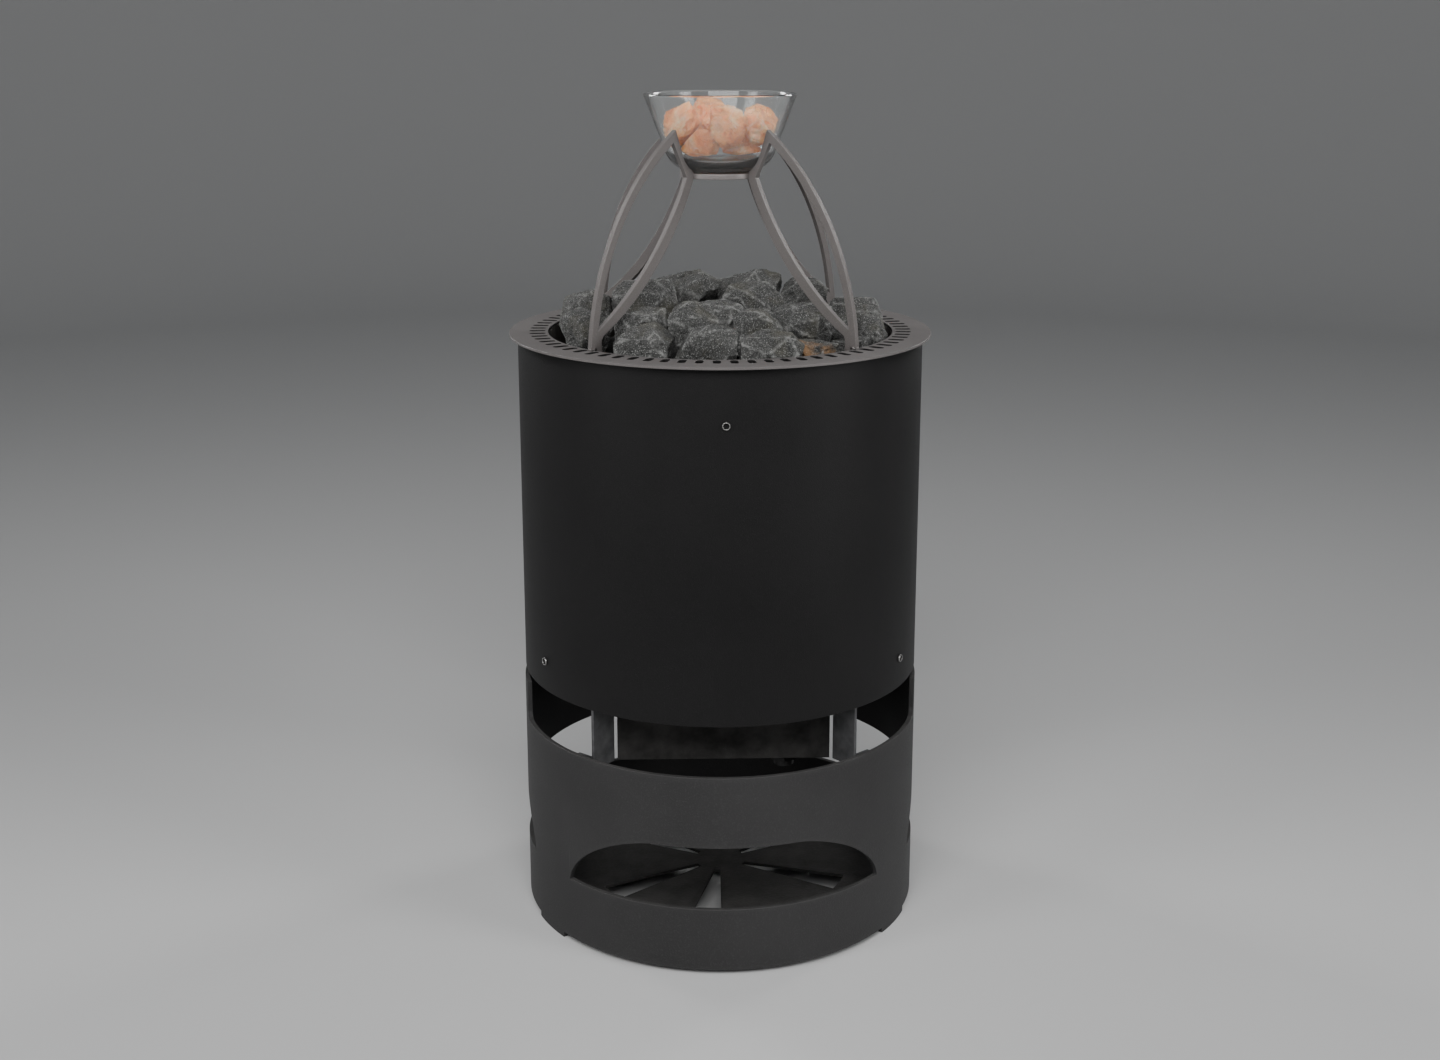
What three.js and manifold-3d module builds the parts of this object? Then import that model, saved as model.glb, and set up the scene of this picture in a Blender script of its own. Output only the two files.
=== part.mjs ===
import * as THREE from "three";
import { mergeVertices } from "three/addons/utils/BufferGeometryUtils.js";
import { ConvexGeometry } from "three/addons/geometries/ConvexGeometry.js";
import Module from "manifold-3d";

const wasm = await Module();
wasm.setup();

// Floor-standing electric sauna heater with stones and a glass bowl of salt on a stand.
// Millimetres, +Z up, origin on the floor under the middle, front towards -Y.
// Angles are in degrees from the front, growing towards +X.

// Base tube
const BASE_RADIUS = 206;
const BASE_WALL = 5;
const BASE_TOP = 247.5;
const FOOT_RISE = 5.5;
const FOOT_SPAN = 15;
const FOOT_ANGLES = [60, 180, 300];
const MOUTH_ANGLES = [0, 120, 240];
const MOUTH_BOTTOM = 70.5;
const MOUTH_TOP = 135;
const MOUTH_HALF_ANGLE = 49;
const MOUTH_FLAT_ANGLE = 20;
const MOUTH_CURVE = 1.6;
const WINDOW_HALF_ANGLE = 77.5;
const WINDOW_SILL = 208;
const WINDOW_FILLET_ANGLE = 2.8;
const WINDOW_FILLET = 10;

// Star plate low in the base
const STAR_TOP = 24;
const STAR_THICKNESS = 3;
const STAR_HUB_RADIUS = 27;
const STAR_SLOT_RADIUS = 138;
const STAR_SLOT_HALF_ANGLE = 7;
const STAR_SLOT_ANGLES = [-57, -8, 65, 123, 180, 237];

// Heater body: carrier plate, basket, heat shield, casing and rim ring
const CASING_STEP = 1;
const CASING_WALL = 2;
const CASING_LIFT = 12.5;
const RIM_TOP = 610;
const RIM_THICKNESS = 2.5;
const RIM_OVERHANG = 8.4;
const RIM_SETBACK = 0.8;
const RIM_SLOT_MARGIN = 1.8;
const RIM_SLOT_WIDTH = 7.4;
const RIM_SLOT_COUNT = 72;
const CARRIER_RISE = 8;
const CARRIER_THICKNESS = 3;
const CARRIER_MARGIN = 1;
const SHIELD_GAP = 6.5;
const SHIELD_WALL = 1.5;
const SHIELD_HEADROOM = 8;
const AIR_CHANNEL = 20;
const BASKET_WALL = 1.5;
const BASKET_WINDOW_COUNT = 12;
const BASKET_WINDOW_HALF_ANGLE = 9;
const GRATE_LIFT = 27;
const GRATE_THICKNESS = 3;
const GRATE_LEDGE = 14;
const GRATE_SLOT_WIDTH = 11;
const GRATE_SLOT_PITCH = 26;

// Casing screws and the spacers that they go into
const SCREW_SHANK_RADIUS = 2;
const SCREW_HEAD_RADIUS = 4;
const SCREW_HEAD_HEIGHT = 2;
const SCREW_LENGTH = 10;
const SCREW_SLACK = 0.4;
const SPACER_RADIUS = 7;
const UPPER_SCREW_DROP = 56;
const UPPER_SCREW_ANGLES = [0, 120, 240];
const LOWER_SCREW_RISE = 31;
const LOWER_SCREW_ANGLES = [60, 180, 300];

// Support brackets
const BRACKET_BOX_GAP = 2.95;
const BRACKET_BOTTOM = 195.5;
const BRACKET_DEPTH = 30;
const BRACKET_THICKNESS = 3;
const BRACKET_FLANGE = 22;
const BRACKET_WALL_TAB = 12;

// Terminal box under the carrier plate
const BOX_WIDTH = 212;
const BOX_FRONT = 128;
const BOX_DEPTH = 56;
const BOX_BOTTOM = 195.5;
const BOX_WALL = 1.5;
const BLOCK_WIDTH = 84;
const BLOCK_DEPTH = 20;
const BLOCK_HEIGHT = 18;
const BLOCK_POLES = 5;
const GLAND_RADIUS = 10;
const GLAND_BORE = 6;
const GLAND_SIDE = 62;
const GLAND_NUT_RADIUS = 14;
const GLAND_NUT_HEIGHT = 11;

// Heating elements
const ELEMENT_ANGLES = [90, 180, 270];
const ELEMENT_RING = 92;
const ELEMENT_BEND = 38;
const ELEMENT_RADIUS = 4.2;
const ELEMENT_COVER = 70;
const ELEMENT_TAIL = 12;

// Stand and bowl
const STAND_ANGLES = [45, 135, 225, 315];
const LEG_THICKNESS = 5;
const LEG_FOOT_OUTSIDE = 6.5;
const LEG_FOOT_INSIDE = 7.5;
const LEG_TONGUE = 7;
const LEG_SLACK = 1;
const LEG_TIP_HEIGHT = 202;
const LEG_STRIP = 9;
const LEG_OUTER_BOW = 26.7;
const LEG_INNER_BOW = 15.8;
const LEG_FORK_HEIGHT = 18;
const LEG_HEEL_HEIGHT = 11;
const LEG_HEAD_DEPTH = 12.5;
const LEG_CRADLE_WIDTH = 8;
const LEG_ROOT_WIDTH = 9.5;
const SEAT_HEIGHT = 153;
const SEAT_THICKNESS = 5.5;
const SEAT_RADIUS = 40;
const SEAT_OPENING = 18;
const BOWL_HEIGHT = 76.7;
const BOWL_RIM_RADIUS = 76.2;
const BOWL_SLOPE = 0.37;
const BOWL_CORNER = 28;
const BOWL_WALL = 4;
const BOWL_FLOOR = 9;
const BOWL_CLEARANCE = 0.6;

// Fits
const GAP = 0.3;
const STONE_GAP = 0.5;
const STONE_LEG_GAP = 1.5;
const ROUND_COUNT = 96;
const INNER_COUNT = 60;

const group = new THREE.Group();
group.name = "sauna_heater";

const rad = THREE.MathUtils.degToRad;
const at = (value, angle) => (typeof value === "function" ? value(angle) : value);

// Turns a three.js geometry into a solid that can be joined and cut
function solid(geometry) {
  const bare = new THREE.BufferGeometry();
  bare.setAttribute("position", geometry.getAttribute("position").clone());
  if (geometry.index) bare.setIndex(geometry.index.clone());
  const merged = mergeVertices(bare, 1e-4);
  return new wasm.Manifold(new wasm.Mesh({
    numProp: 3,
    vertProperties: new Float32Array(merged.getAttribute("position").array),
    triVerts: new Uint32Array(merged.index.array),
  }));
}

function surface(body) {
  const mesh = body.getMesh();
  const geometry = new THREE.BufferGeometry();
  geometry.setAttribute("position", new THREE.BufferAttribute(new Float32Array(mesh.vertProperties), 3));
  geometry.setIndex(new THREE.BufferAttribute(new Uint32Array(mesh.triVerts), 1));
  geometry.computeVertexNormals();
  return geometry;
}

function add(name, body, look) {
  const mesh = new THREE.Mesh(surface(body), new THREE.MeshStandardMaterial(look));
  mesh.name = name;
  group.add(mesh);
}

const cut = (body, cutters) => cutters.reduce((rest, cutter) => rest.subtract(cutter), body);
const join = (bodies) => bodies.reduce((whole, body) => whole.add(body));

// Turned shape: points are [radius, height] and go round against the clock
function turned(points, segments = ROUND_COUNT) {
  const profile = points.map(([r, z]) => new THREE.Vector2(r, z));
  const geometry = new THREE.LatheGeometry(profile, segments);
  geometry.rotateX(Math.PI / 2);
  return geometry;
}

function tube(inner, outer, bottom, top, segments = ROUND_COUNT) {
  return solid(turned([[inner, bottom], [outer, bottom], [outer, top], [inner, top], [inner, bottom]], segments));
}

function disc(radius, bottom, top, segments = ROUND_COUNT) {
  return solid(turned([[0, bottom], [radius, bottom], [radius, top], [0, top]], segments));
}

function block(x0, x1, y0, y1, z0, z1) {
  const geometry = new THREE.BoxGeometry(x1 - x0, y1 - y0, z1 - z0);
  geometry.translate((x0 + x1) / 2, (y0 + y1) / 2, (z0 + z1) / 2);
  return geometry;
}

// Turns a geometry that is drawn along +X to an angle from the front
function aim(geometry, angle) {
  return geometry.rotateZ(rad(angle - 90));
}

// Round bar that lies along the radius at an angle and height
function radialBar(radius, from, to, angle, height, segments = 24) {
  const geometry = new THREE.CylinderGeometry(radius, radius, to - from, segments);
  geometry.rotateZ(Math.PI / 2);
  geometry.translate((from + to) / 2, 0, height);
  return solid(aim(geometry, angle));
}

// Block bent round the axis between two angles and two radii; its heights may change with the angle
function bentBlock(from, to, inner, outer, low, high, steps = 24) {
  const geometry = new THREE.BoxGeometry(1, 1, 1, steps, 1, 1);
  const p = geometry.getAttribute("position");
  for (let i = 0; i < p.count; i++) {
    const angle = (from + to) / 2 + ((to - from) / 2) * Math.sin(Math.PI * p.getX(i));
    const radius = p.getY(i) < 0 ? outer : inner;
    const z = p.getZ(i) < 0 ? at(low, angle) : at(high, angle);
    p.setXYZ(i, radius * Math.sin(rad(angle)), -radius * Math.cos(rad(angle)), z);
  }
  return solid(geometry);
}

// Points of an arc from a to b that bows to the left of its way by the given height
function arc(a, b, bow, steps = 14) {
  const chord = Math.hypot(b[0] - a[0], b[1] - a[1]);
  const along = [(b[0] - a[0]) / chord, (b[1] - a[1]) / chord];
  const left = [-along[1], along[0]];
  const radius = (chord * chord / 4 + bow * bow) / (2 * Math.abs(bow));
  const half = Math.asin(chord / 2 / radius);
  const points = [];
  for (let i = 0; i <= steps; i++) {
    const turn = -half + (2 * half * i) / steps;
    const s = chord / 2 + radius * Math.sin(turn);
    const h = Math.sign(bow) * (Math.abs(bow) - radius * (1 - Math.cos(turn)));
    points.push([a[0] + along[0] * s + left[0] * h, a[1] + along[1] * s + left[1] * h]);
  }
  return points;
}

const BASE_INNER = BASE_RADIUS - BASE_WALL;
const CASING_RADIUS = BASE_RADIUS - CASING_STEP;
const CASING_INNER = CASING_RADIUS - CASING_WALL;
const SHIELD_RADIUS = CASING_INNER - SHIELD_GAP;
const SHIELD_INNER = SHIELD_RADIUS - SHIELD_WALL;
const BASKET_RADIUS = SHIELD_INNER - AIR_CHANNEL;
const BASKET_INNER = BASKET_RADIUS - BASKET_WALL;
const CASING_BOTTOM = BASE_TOP + CASING_LIFT;
const CARRIER_BOTTOM = CASING_BOTTOM + CARRIER_RISE;
const CARRIER_TOP = CARRIER_BOTTOM + CARRIER_THICKNESS;
const CARRIER_RADIUS = SHIELD_RADIUS + CARRIER_MARGIN;
const RIM_BOTTOM = RIM_TOP - RIM_THICKNESS;
const RIM_RADIUS = CASING_RADIUS + RIM_OVERHANG;
const RIM_OPENING = BASKET_INNER + RIM_SETBACK;
const RIM_SLOT_INNER = BASKET_RADIUS + RIM_SLOT_MARGIN;
const RIM_SLOT_OUTER = SHIELD_INNER - RIM_SLOT_MARGIN;
const BODY_TOP = RIM_BOTTOM - GAP;
const UPPER_SCREW_HEIGHT = RIM_TOP - UPPER_SCREW_DROP;
const LOWER_SCREW_HEIGHT = CASING_BOTTOM + LOWER_SCREW_RISE;
const ELEMENT_TOP = RIM_TOP - ELEMENT_COVER;
const GRATE_BOTTOM = CARRIER_TOP + GRATE_LIFT;
const GRATE_TOP = GRATE_BOTTOM + GRATE_THICKNESS;
const STAND_FLOOR = RIM_TOP + GAP;
const LEG_FOOT_OUTER = BASKET_INNER + LEG_FOOT_OUTSIDE;
const LEG_FOOT_INNER = BASKET_INNER - LEG_FOOT_INSIDE;
const SEAT_BOTTOM = STAND_FLOOR + SEAT_HEIGHT;
const SEAT_TOP = SEAT_BOTTOM + SEAT_THICKNESS;
const BOWL_BOTTOM = SEAT_TOP + GAP;

const POWDER_COAT = { color: 0x2c2b2c, metalness: 0.3, roughness: 0.75 };
const RIM_PAINT = { color: 0x6d6662, metalness: 0.5, roughness: 0.6 };
const GALVANISED = { color: 0x8b8d8f, metalness: 0.8, roughness: 0.5 };
const STAINLESS = { color: 0x9c9995, metalness: 0.9, roughness: 0.4 };
const STAND_PAINT = { color: 0x857f7a, metalness: 0.5, roughness: 0.55 };
const DARK_PLASTIC = { color: 0x1c1c1d, metalness: 0, roughness: 0.6 };
const CREAM_CERAMIC = { color: 0xd8d2c2, metalness: 0, roughness: 0.7 };
const GLASS = { color: 0xdfe6e8, metalness: 0, roughness: 0.05, transparent: true, opacity: 0.35 };
const ROCK = { color: 0x5b5d5b, metalness: 0, roughness: 0.9 };
const SALT = { color: 0xe2a07c, metalness: 0, roughness: 0.5 };

// Base tube: rolled sheet with three air mouths, a window in front and three feet left standing
function mouthTop(angle) {
  const past = Math.max(0, Math.abs(angle) - MOUTH_FLAT_ANGLE) / (MOUTH_HALF_ANGLE - MOUTH_FLAT_ANGLE);
  const share = Math.pow(Math.max(0, 1 - Math.pow(past, MOUTH_CURVE)), 1 / MOUTH_CURVE);
  return MOUTH_BOTTOM + Math.max(2, (MOUTH_TOP - MOUTH_BOTTOM) * share);
}

function windowSill(angle) {
  const past = Math.max(0, Math.abs(angle) - (WINDOW_HALF_ANGLE - WINDOW_FILLET_ANGLE)) / WINDOW_FILLET_ANGLE;
  return WINDOW_SILL + WINDOW_FILLET * (1 - Math.sqrt(Math.max(0, 1 - past * past)));
}

const WALL_IN = BASE_INNER - 10;
const WALL_OUT = BASE_RADIUS + 10;
const mouths = MOUTH_ANGLES.map((middle) => bentBlock(
  middle - MOUTH_HALF_ANGLE, middle + MOUTH_HALF_ANGLE, WALL_IN, WALL_OUT,
  MOUTH_BOTTOM, (angle) => mouthTop(angle - middle), 28));
const frontWindow = bentBlock(
  -WINDOW_HALF_ANGLE, WINDOW_HALF_ANGLE, WALL_IN, WALL_OUT, windowSill, BASE_TOP + 10, 44);
const footGaps = FOOT_ANGLES.map((foot) => bentBlock(
  foot + FOOT_SPAN / 2, foot + 120 - FOOT_SPAN / 2, WALL_IN, WALL_OUT, -10, FOOT_RISE, 20));
add("base_tube", cut(tube(BASE_INNER, BASE_RADIUS, 0, BASE_TOP), [...mouths, frontWindow, ...footGaps]), POWDER_COAT);

// Star plate: round floor of the base with wedge-shaped air slots
const starSlots = STAR_SLOT_ANGLES.map((middle) => bentBlock(
  middle - STAR_SLOT_HALF_ANGLE, middle + STAR_SLOT_HALF_ANGLE, STAR_HUB_RADIUS, STAR_SLOT_RADIUS,
  STAR_TOP - STAR_THICKNESS - 5, STAR_TOP + 5, 6));
add("star_plate", cut(disc(BASE_INNER - GAP, STAR_TOP - STAR_THICKNESS, STAR_TOP), starSlots), GALVANISED);

// Support brackets: upright plates welded in the base, with a top flange under the carrier plate
const BRACKET_OUTER = Math.sqrt((BASE_INNER - GAP) ** 2 - BRACKET_FLANGE ** 2);
const BRACKET_INNER = BRACKET_OUTER - BRACKET_DEPTH;
const BRACKET_TOP = CARRIER_BOTTOM - GAP;
const BESIDE_BOX = THREE.MathUtils.radToDeg(Math.asin((BOX_WIDTH / 2 + BRACKET_BOX_GAP) / BRACKET_INNER));
const BRACKET_ANGLES = [BESIDE_BOX, 180 - BESIDE_BOX, 180 + BESIDE_BOX, 360 - BESIDE_BOX];
BRACKET_ANGLES.forEach((angle, i) => {
  const side = angle < 180 ? 1 : -1;
  const across = [0, side * BRACKET_FLANGE].sort((a, b) => a - b);
  const leaf = [0, side * BRACKET_THICKNESS].sort((a, b) => a - b);
  const pieces = [
    block(BRACKET_INNER, BRACKET_OUTER, ...leaf, BRACKET_BOTTOM, BRACKET_TOP),
    block(BRACKET_INNER, BRACKET_OUTER, ...across, BRACKET_TOP - BRACKET_THICKNESS, BRACKET_TOP),
    block(BRACKET_OUTER - BRACKET_THICKNESS, BRACKET_OUTER, ...across, BRACKET_BOTTOM,
      BRACKET_BOTTOM + BRACKET_WALL_TAB),
  ];
  add(`bracket_${i + 1}`, join(pieces.map((piece) => solid(aim(piece, angle)))), GALVANISED);
});

// Heating elements: one hairpin for each phase, upright in the stones
class Hairpin extends THREE.Curve {
  constructor(bottom, top, half, distance) {
    super();
    Object.assign(this, { bottom, top, half, distance });
  }

  getPoint(t, target = new THREE.Vector3()) {
    const straight = this.top - this.half - this.bottom;
    const bend = Math.PI * this.half;
    const way = t * (2 * straight + bend);
    if (way < straight) return target.set(this.distance, -this.half, this.bottom + way);
    if (way > straight + bend) return target.set(this.distance, this.half, this.bottom + 2 * straight + bend - way);
    const turn = (way - straight) / this.half;
    return target.set(this.distance, -this.half * Math.cos(turn), this.top - this.half + this.half * Math.sin(turn));
  }
}

function hairpin(radius, angle) {
  const circle = new THREE.Shape(new THREE.Path().absarc(0, 0, radius, 0, 2 * Math.PI).getPoints(4).slice(0, -1));
  const path = new Hairpin(CARRIER_BOTTOM - ELEMENT_TAIL, ELEMENT_TOP, ELEMENT_BEND, ELEMENT_RING);
  const geometry = new THREE.ExtrudeGeometry(circle, { steps: 38, extrudePath: path, bevelEnabled: false });
  return solid(aim(geometry, angle));
}

ELEMENT_ANGLES.forEach((angle, i) => add(`heating_element_${i + 1}`, hairpin(ELEMENT_RADIUS, angle), STAINLESS));

// Room for the elements: round holes for their ends in the plates, flat pockets in the stones
const ELEMENT_ROOM = ELEMENT_RADIUS + STONE_GAP;
const elementHoles = ELEMENT_ANGLES.flatMap((angle) => [-ELEMENT_BEND, ELEMENT_BEND].map((side) => {
  const geometry = new THREE.CylinderGeometry(ELEMENT_ROOM, ELEMENT_ROOM, 2 * GRATE_LIFT + 40, 12);
  return solid(aim(geometry.rotateX(Math.PI / 2).translate(ELEMENT_RING, side, CARRIER_TOP + GRATE_LIFT / 2), angle));
}));
const elementPockets = ELEMENT_ANGLES.map((angle) => solid(aim(block(
  ELEMENT_RING - ELEMENT_ROOM, ELEMENT_RING + ELEMENT_ROOM, -ELEMENT_BEND - ELEMENT_ROOM, ELEMENT_BEND + ELEMENT_ROOM,
  CARRIER_TOP, ELEMENT_TOP + ELEMENT_ROOM), angle)));

// Carrier plate: floor of the heater body, open under the basket and under the air channel
const channelSlots = Array.from({ length: BASKET_WINDOW_COUNT }, (_, i) => {
  const middle = ((i + 0.5) * 360) / BASKET_WINDOW_COUNT;
  return bentBlock(middle - BASKET_WINDOW_HALF_ANGLE, middle + BASKET_WINDOW_HALF_ANGLE,
    BASKET_RADIUS + 2, SHIELD_INNER - 2, CARRIER_BOTTOM - 5, CARRIER_TOP + 5, 4);
});
const floorSlots = [0, 135, 225].map((middle) => bentBlock(middle - 20, middle + 20, ELEMENT_RING - 40,
  ELEMENT_RING + 24, CARRIER_BOTTOM - 5, CARRIER_TOP + 5, 6));
add("carrier_plate", cut(disc(CARRIER_RADIUS, CARRIER_BOTTOM, CARRIER_TOP, INNER_COUNT),
  [...channelSlots, ...floorSlots, ...elementHoles]), GALVANISED);

// Terminal box: open in front, closed by a cover, hung under the carrier plate
const BOX_TOP = CARRIER_BOTTOM - GAP;
const BOX_HALF = BOX_WIDTH / 2;
const COVER_BACK = -BOX_FRONT + BOX_WALL;
const BOX_OPEN = COVER_BACK + GAP;
const BOX_BACK = BOX_OPEN + BOX_DEPTH;
const GLAND_Y = (BOX_OPEN + BOX_BACK) / 2;
const boxShell = solid(block(-BOX_HALF, BOX_HALF, BOX_OPEN, BOX_BACK, BOX_BOTTOM, BOX_TOP));
const boxRoom = solid(block(-BOX_HALF + BOX_WALL, BOX_HALF - BOX_WALL, BOX_OPEN - 5, BOX_BACK - BOX_WALL,
  BOX_BOTTOM + BOX_WALL, BOX_TOP - BOX_WALL));
const upright = (geometry) => geometry.rotateX(Math.PI / 2);
const glandHole = solid(upright(new THREE.CylinderGeometry(GLAND_RADIUS + GAP, GLAND_RADIUS + GAP, 20, 32))
  .translate(GLAND_SIDE, GLAND_Y, BOX_BOTTOM));
add("terminal_box", cut(boxShell, [boxRoom, glandHole]), POWDER_COAT);
add("terminal_cover", solid(block(-BOX_HALF, BOX_HALF, -BOX_FRONT, COVER_BACK, BOX_BOTTOM, BOX_TOP)), POWDER_COAT);

// Terminal block: row of wire chambers on the back wall of the box
const BLOCK_BACK = BOX_BACK - BOX_WALL - GAP;
const BLOCK_BOTTOM = (BOX_BOTTOM + BOX_TOP - BLOCK_HEIGHT) / 2;
const poles = Array.from({ length: BLOCK_POLES }, (_, i) => {
  const pitch = BLOCK_WIDTH / BLOCK_POLES;
  const x = -BLOCK_WIDTH / 2 + pitch * (i + 0.5);
  return solid(block(x - pitch * 0.32, x + pitch * 0.32, BLOCK_BACK - BLOCK_DEPTH - 5, BLOCK_BACK - BLOCK_DEPTH * 0.5,
    BLOCK_BOTTOM + BLOCK_HEIGHT * 0.25, BLOCK_BOTTOM + BLOCK_HEIGHT * 0.75));
});
add("terminal_block", cut(solid(block(-BLOCK_WIDTH / 2, BLOCK_WIDTH / 2, BLOCK_BACK - BLOCK_DEPTH, BLOCK_BACK,
  BLOCK_BOTTOM, BLOCK_BOTTOM + BLOCK_HEIGHT)), poles), CREAM_CERAMIC);

// Cable gland: hexagon under the box floor, lock nut above it, bored through for the cable
const glandBar = (radius, z0, z1, sides) => solid(upright(new THREE.CylinderGeometry(radius, radius, z1 - z0, sides))
  .translate(GLAND_SIDE, GLAND_Y, (z0 + z1) / 2));
const glandLow = BOX_BOTTOM - GAP - GLAND_NUT_HEIGHT;
const glandHigh = BOX_BOTTOM + BOX_WALL + GAP + GLAND_NUT_HEIGHT / 2;
const gland = join([
  glandBar(GLAND_RADIUS, glandLow - 6, glandHigh + 3, 32),
  glandBar(GLAND_NUT_RADIUS, glandLow, BOX_BOTTOM - GAP, 6),
  glandBar(GLAND_NUT_RADIUS, BOX_BOTTOM + BOX_WALL + GAP, glandHigh, 6),
]);
add("cable_gland", gland.subtract(glandBar(GLAND_BORE, glandLow - 20, glandHigh + 20, 24)), DARK_PLASTIC);

// Stone basket: inner drum with air windows low in its wall and a ledge for the grate
const basketWindows = Array.from({ length: BASKET_WINDOW_COUNT }, (_, i) => {
  const middle = (i * 360) / BASKET_WINDOW_COUNT;
  return bentBlock(middle - BASKET_WINDOW_HALF_ANGLE, middle + BASKET_WINDOW_HALF_ANGLE, BASKET_INNER - 5,
    BASKET_RADIUS + 5, CARRIER_TOP + GRATE_LIFT * 0.2, CARRIER_TOP + GRATE_LIFT * 0.8, 4);
});
const basketWall = tube(BASKET_INNER, BASKET_RADIUS, CARRIER_TOP + GAP, BODY_TOP, INNER_COUNT);
const basketLedge = tube(BASKET_INNER - GRATE_LEDGE, BASKET_INNER + BASKET_WALL / 2,
  GRATE_BOTTOM - GAP - BASKET_WALL, GRATE_BOTTOM - GAP, INNER_COUNT);
add("stone_basket", cut(basketWall.add(basketLedge), basketWindows), STAINLESS);

// Stone grate: slotted plate on the ledge, with holes for the elements
const GRATE_RADIUS = BASKET_INNER - GAP;
const grateSlots = [];
const slotReach = GRATE_RADIUS - GRATE_LEDGE;
for (let x = -Math.floor(slotReach / GRATE_SLOT_PITCH) * GRATE_SLOT_PITCH; x < slotReach; x += GRATE_SLOT_PITCH) {
  const edge = Math.abs(x) + GRATE_SLOT_WIDTH / 2;
  if (edge < slotReach * 0.97) {
    const half = Math.sqrt(slotReach ** 2 - edge ** 2);
    grateSlots.push(solid(block(x - GRATE_SLOT_WIDTH / 2, x + GRATE_SLOT_WIDTH / 2, -half, half,
      GRATE_BOTTOM - 5, GRATE_TOP + 5)));
  }
}
const grateRib = solid(block(-slotReach - 2, slotReach + 2, -6, 6, GRATE_BOTTOM, GRATE_TOP));
const slotted = cut(disc(GRATE_RADIUS, GRATE_BOTTOM, GRATE_TOP, INNER_COUNT), grateSlots).add(grateRib);
add("stone_grate", cut(slotted, elementHoles), STAINLESS);

// Heat shield: drum between basket and casing, with a spacer behind each casing screw
const screwPlaces = [
  ...UPPER_SCREW_ANGLES.map((angle) => ({ angle, height: UPPER_SCREW_HEIGHT })),
  ...LOWER_SCREW_ANGLES.map((angle) => ({ angle, height: LOWER_SCREW_HEIGHT })),
];
const screwHole = ({ angle, height }) => radialBar(SCREW_SHANK_RADIUS + SCREW_SLACK, SHIELD_INNER - 10,
  CASING_RADIUS + 10, angle, height, 12);
const spacers = screwPlaces.map(({ angle, height }) => radialBar(SPACER_RADIUS, SHIELD_INNER + SHIELD_WALL / 2,
  CASING_INNER - GAP - (SPACER_RADIUS ** 2) / (2 * CASING_INNER), angle, height, 12));
const shieldDrum = tube(SHIELD_INNER, SHIELD_RADIUS, CARRIER_TOP + GAP, BODY_TOP - SHIELD_HEADROOM, INNER_COUNT);
add("heat_shield", cut(join([shieldDrum, ...spacers]), screwPlaces.map(screwHole)), GALVANISED);

// Outer casing: plain drum held by the screws
const casingDrum = tube(CASING_INNER, CASING_RADIUS, CASING_BOTTOM, BODY_TOP);
add("outer_casing", cut(casingDrum, screwPlaces.map(screwHole)), POWDER_COAT);

// Casing screws: round heads with a small socket, shanks through casing and spacer
screwPlaces.forEach(({ angle, height }, i) => {
  const seat = CASING_RADIUS + GAP;
  const shank = radialBar(SCREW_SHANK_RADIUS, seat - SCREW_LENGTH, seat + SCREW_HEAD_HEIGHT / 2, angle, height, 12);
  const head = radialBar(SCREW_HEAD_RADIUS, seat, seat + SCREW_HEAD_HEIGHT, angle, height, 20);
  const socket = radialBar(SCREW_HEAD_RADIUS * 0.5, seat + SCREW_HEAD_HEIGHT * 0.4, seat + 10, angle, height, 6);
  add(`casing_screw_${i + 1}`, shank.add(head).subtract(socket), STAINLESS);
});

// Rim ring: flat ring over basket and casing with a row of radial air slots
const rimSlots = Array.from({ length: RIM_SLOT_COUNT }, (_, i) => solid(aim(
  block(RIM_SLOT_INNER, RIM_SLOT_OUTER, -RIM_SLOT_WIDTH / 2, RIM_SLOT_WIDTH / 2, RIM_BOTTOM - 5, RIM_TOP + 5),
  ((i + 0.5) * 360) / RIM_SLOT_COUNT)));
add("rim_ring", cut(tube(RIM_OPENING, RIM_RADIUS, RIM_BOTTOM, RIM_TOP, RIM_SLOT_COUNT), rimSlots), RIM_PAINT);

// Outside of the bowl from the middle of its floor to its rim, with room added all round
function bowlOutside(room) {
  const tilt = Math.atan(BOWL_SLOPE);
  const reach = BOWL_CORNER * Math.tan((Math.PI / 2 - tilt) / 2);
  const flat = BOWL_RIM_RADIUS - BOWL_HEIGHT * BOWL_SLOPE - reach;
  const points = [];
  for (let i = 0; i <= 8; i++) {
    const turn = ((Math.PI / 2 - tilt) * i) / 8;
    points.push([flat + (BOWL_CORNER + room) * Math.sin(turn), BOWL_CORNER - (BOWL_CORNER + room) * Math.cos(turn)]);
  }
  points.push([BOWL_RIM_RADIUS + room * Math.cos(tilt), BOWL_HEIGHT - room * Math.sin(tilt)]);
  return points.map(([r, z]) => [r, z + BOWL_BOTTOM]);
}

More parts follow.
